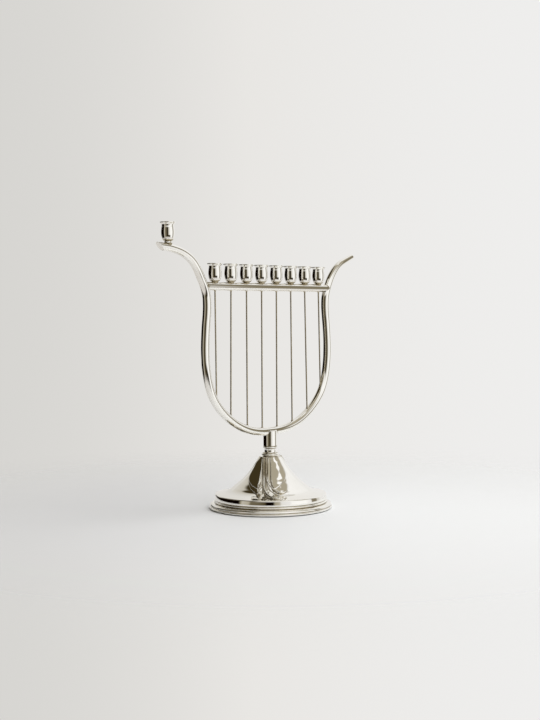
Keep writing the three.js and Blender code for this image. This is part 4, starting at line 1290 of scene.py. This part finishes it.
class MENORAH_OT_leaves(bpy.types.Operator):
    """Lay the sprays of leaves and tendrils on the foot"""

    bl_idname = "menorah.leaves"
    bl_label = "Leaves and Tendrils"

    def execute(self, context):
        s = context.scene.menorah_leaves
        trumpet = Trumpet(context.scene.menorah_foot)
        silver = silver_finish()
        base = 0.3 * MM
        for k in range(s.sprays):
            turn = s.turn + k * 360 / s.sprays
            place = ("front", "back")[k] if s.sprays == 2 else f"{k + 1}"
            leaves = {
                "leaf_right": (
                    1, RIGHT_LEAF_SWING_SHARES, RIGHT_LEAF_WIDTH_SHARES, s.half_width, s.foot,
                    s.edge, s.bulge),
                "leaf_left": (
                    -1, LEFT_LEAF_SWING_SHARES, LEFT_LEAF_WIDTH_SHARES, s.half_width, s.foot,
                    s.edge, s.bulge),
                "underleaf_right": (
                    1, RIGHT_UNDERLEAF_SWING_SHARES, RIGHT_UNDERLEAF_WIDTH_SHARES,
                    s.under_half_width, s.right_under_foot, s.under_edge, s.under_bulge),
                "underleaf_left": (
                    -1, LEFT_UNDERLEAF_SWING_SHARES, LEFT_UNDERLEAF_WIDTH_SHARES,
                    s.under_half_width, s.left_under_foot, s.under_edge, s.under_bulge),
            }
            for leaf, facts in leaves.items():
                name = f"{place}_{leaf}"
                mesh = leaf_mesh(name, trumpet, turn, *facts, base)
                add_piece(f"{name}_smooth", mesh, [name], silver, SILVER_SLOT)
            stalk = tendril_line(
                trumpet, s, turn, TENDRIL_SWING_SHARES, s.tendril_root, s.tendril_tip)
            strand = tendril_line(
                trumpet, s, turn, STRAND_SWING_SHARES, s.strand_root, s.strand_tip,
                STRAND_TAPER_SHARES)
            twig = tendril_line(
                trumpet, s, turn, TWIG_SWING_SHARES, s.twig_radius, s.twig_radius, steps=40)
            name = f"{place}_tendril"
            mesh = rod_mesh(name, [stalk, strand, twig], 28, darker_towards_top(stalk), sharp=2.0)
            add_piece(f"{name}_smooth", mesh, [name], silver, SILVER_SLOT)
        return {"FINISHED"}


class MENORAH_OT_studio(bpy.types.Operator):
    """Set up the floor, the soft lights, the pale backdrop and the camera"""

    bl_idname = "menorah.studio"
    bl_label = "Studio"

    def execute(self, context):
        scene = context.scene
        scene.view_settings.view_transform = "Standard"
        set_camera(scene)
        set_world(scene)
        lay_floor(scene)
        hang_softbox(scene)
        return {"FINISHED"}


def set_camera(scene):
    around, pitch, roll = (math.radians(a) for a in (VIEW_DEGREES, 2.09, 0.45))
    ahead = Vector((
        -math.sin(around) * math.cos(pitch), math.cos(around) * math.cos(pitch), -math.sin(pitch)))
    right = ahead.cross(Vector((0, 0, 1))).normalized()
    up = right.cross(ahead)
    tilted_right = math.cos(roll) * right - math.sin(roll) * up
    tilted_up = math.sin(roll) * right + math.cos(roll) * up
    lens = bpy.data.cameras.new("camera")
    lens.sensor_width, lens.lens = 36.0, 60.05
    lens.clip_start, lens.clip_end = 0.05, 50.0
    camera = bpy.data.objects.new("camera", lens)
    scene.collection.objects.link(camera)
    turn = Matrix((tilted_right, tilted_up, -ahead)).transposed()
    distance = 1170 * MM
    place = math.radians(-47.0)
    camera.matrix_world = Matrix.Translation(
        (math.sin(place) * distance, -math.cos(place) * distance, 187 * MM)) @ turn.to_4x4()
    scene.camera = camera


def set_world(scene):
    """A pale backdrop with painted shade, darker towards the view's left, and round the silver a
    studio fitted to one picture's reflections.
    """
    shades = scene.menorah_finishes
    world = bpy.data.worlds.new("studio")
    scene.world = world
    world.use_nodes = True
    bench = Bench(world.node_tree)
    facing = math.radians(VIEW_DEGREES)
    direction = bench.make("ShaderNodeTexCoord", out="Generated")
    turned = bench.make(
        "ShaderNodeVectorRotate", {"rotation_type": "Z_AXIS"},
        {"Vector": direction, "Angle": -facing})
    x = bench.make("ShaderNodeSeparateXYZ", {}, {"Vector": turned}, out="X")
    toward, height = -1.0 * x.other("Y"), x.other("Z")
    bearing = x.maths("ARCTAN2", x, toward) * (180 / math.pi)

    def patch(left, right, low, high, soft=4.0, soft_height=0.05):
        """How much of a card is seen: from left to right in degrees, and from low to high."""
        across = bearing.between(left - soft, left + soft) * bearing.between(
            right - soft, right + soft, 1.0, 0.0)
        along = height.between(low - soft_height, low + soft_height) * height.between(
            high - soft_height, high + soft_height, 1.0, 0.0)
        return across * along

    def ring(tones):
        """The studio's tones once round, from (degrees, tone) pairs."""
        return bench.make(
            "ShaderNodeValToRGB",
            {"stops": [((degrees + 180) / 360, warm(tone)) for degrees, tone in tones]},
            {"Fac": (bearing + 180) * (1 / 360)})

    room = bench.mix(height.between(0.28, 0.42), ring(LOW_TONES), ring(HIGH_TONES))
    for tone, *edges in STUDIO_CARDS:
        room = bench.mix(patch(*edges), room, warm(tone))
    # The backdrop as the camera sees it, with painted shade darkening it towards the view's left.
    seen = bench.make(
        "ShaderNodeValToRGB", {"stops": [
            (0.0, tuple(shades.backdrop_in_painted_shade)), (0.45, tuple(shades.middle_wall)),
            (1.0, tuple(shades.backdrop_in_painted_light))]},
        {"Fac": x.between(-0.25, 0.25)})
    for left, right in BACKDROP_EDGES:
        room = bench.mix(patch(left, right, -0.5, 2), room, seen)
    below = bench.mix((0.0 - height).between(0.3, 0.5), room, (0.66, 0.63, 0.60))
    eye = bench.make("ShaderNodeLightPath", out="Is Camera Ray")
    background = bench.make(
        "ShaderNodeBackground", {}, {"Color": bench.mix(eye, below, seen), "Strength": 1.0})
    bench.make("ShaderNodeOutputWorld", {}, {"Surface": background})


def lay_floor(scene):
    """A pale floor that takes the menorah's shadow and fades into the backdrop; painted shade darkens
    its colour towards the view's left.
    """
    shades = scene.menorah_finishes
    body = bmesh.new()
    bmesh.ops.create_circle(body, cap_ends=True, segments=96, radius=FLOOR_RADIUS)
    mesh = bpy.data.meshes.new("floor")
    body.to_mesh(mesh)
    body.free()
    material, bench = new_material("studio floor")
    where = bench.make("ShaderNodeTexCoord", out="Object")
    grain = bench.noise(where, 35.0, 3.0)
    far = bench.make("ShaderNodeVectorMath", {"operation": "LENGTH"}, {0: where}, out="Value")
    place = math.radians(VIEW_DEGREES)
    # Painted shade: across the view, the floor's colour goes from darker at the left to lighter at the
    # right.
    across = bench.make(
        "ShaderNodeVectorMath", {"operation": "DOT_PRODUCT"},
        {0: where, 1: (math.cos(place), math.sin(place), 0.0)}, out="Value")
    plain = bench.mix(
        across.between(-0.2, 0.12), tuple(shades.floor_in_painted_shade), tuple(shades.floor_in_painted_light))
    tone = bench.mix(grain * 0.15, plain, (0.86, 0.86, 0.86))
    coated(bench, {
        "Base Color": tone, "Roughness": 0.6, "Specular IOR Level": 0.2,
        "Alpha": far.between(0.10, 0.56, 1.0, 0.0)})
    mesh.materials.append(material)
    floor = bpy.data.objects.new("floor", mesh)
    floor.location = (0, 0, -0.0002)
    scene.collection.objects.link(floor)
    floor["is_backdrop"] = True


def hang_softbox(scene):
    lamp = bpy.data.lights.new("softbox", "AREA")
    lamp.shape, lamp.size, lamp.size_y = "RECTANGLE", 0.8, 0.8
    lamp.energy = 9.5
    softbox = bpy.data.objects.new("softbox", lamp)
    place = Vector((0.25, -0.55, 1.2))
    softbox.location = place
    softbox.visible_glossy = False
    softbox.rotation_mode = "QUATERNION"
    softbox.rotation_quaternion = (Vector((0, 0, 0.1)) - place).to_track_quat("-Z", "Y")
    scene.collection.objects.link(softbox)


class MENORAH_PT_panel(bpy.types.Panel):
    """Lists the menorah's pieces and their sizes"""

    bl_idname = "MENORAH_PT_panel"
    bl_label = "Harp Menorah"
    bl_space_type = "VIEW_3D"
    bl_region_type = "UI"
    bl_category = "Menorah"

    def draw(self, context):
        for label, group, operators in PANEL_ROWS:
            box = self.layout.box()
            box.label(text=label)
            sizes = getattr(context.scene, group)
            for name in sizes.__annotations__:
                box.prop(sizes, name)
            for operator in operators:
                box.operator(operator.bl_idname)


GROUPS = {
    "menorah_foot": FootSizes, "menorah_stack": StackSizes, "menorah_harp": HarpSizes,
    "menorah_cups": CupSizes, "menorah_leaves": LeafSizes, "menorah_finishes": Finishes,
}
PANEL_ROWS = [
    ("Foot", "menorah_foot", [MENORAH_OT_foot, MENORAH_OT_underside]),
    ("Turned Stack", "menorah_stack", [MENORAH_OT_stack]),
    ("Harp", "menorah_harp", [MENORAH_OT_harp, MENORAH_OT_crossbar, MENORAH_OT_strings]),
    ("Cups", "menorah_cups", [MENORAH_OT_cups, MENORAH_OT_raised_cup]),
    ("Leaves", "menorah_leaves", [MENORAH_OT_leaves]),
    ("Studio", "menorah_finishes", [MENORAH_OT_studio]),
]
OPERATORS = [operator for _, _, operators in PANEL_ROWS for operator in operators]


def register():
    for name, group in GROUPS.items():
        bpy.utils.register_class(group)
        setattr(bpy.types.Scene, name, PointerProperty(type=group))
    for operator in OPERATORS:
        bpy.utils.register_class(operator)
    bpy.utils.register_class(MENORAH_PT_panel)


def unregister():
    bpy.utils.unregister_class(MENORAH_PT_panel)
    for operator in reversed(OPERATORS):
        bpy.utils.unregister_class(operator)
    for name, group in reversed(GROUPS.items()):
        delattr(bpy.types.Scene, name)
        bpy.utils.unregister_class(group)


def main():
    register()
    bpy.ops.menorah.studio()
    bpy.ops.menorah.foot()
    bpy.ops.menorah.underside()
    bpy.ops.menorah.stack()
    bpy.ops.menorah.harp()
    bpy.ops.menorah.crossbar()
    bpy.ops.menorah.strings()
    bpy.ops.menorah.cups()
    bpy.ops.menorah.raised_cup()
    bpy.ops.menorah.leaves()
    boxes = {"cad": CAD_BOX, "looks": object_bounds()}
    {name: [list(corner) for corner in box] for name, box in boxes.items()}


if __name__ == "__main__":
    main()
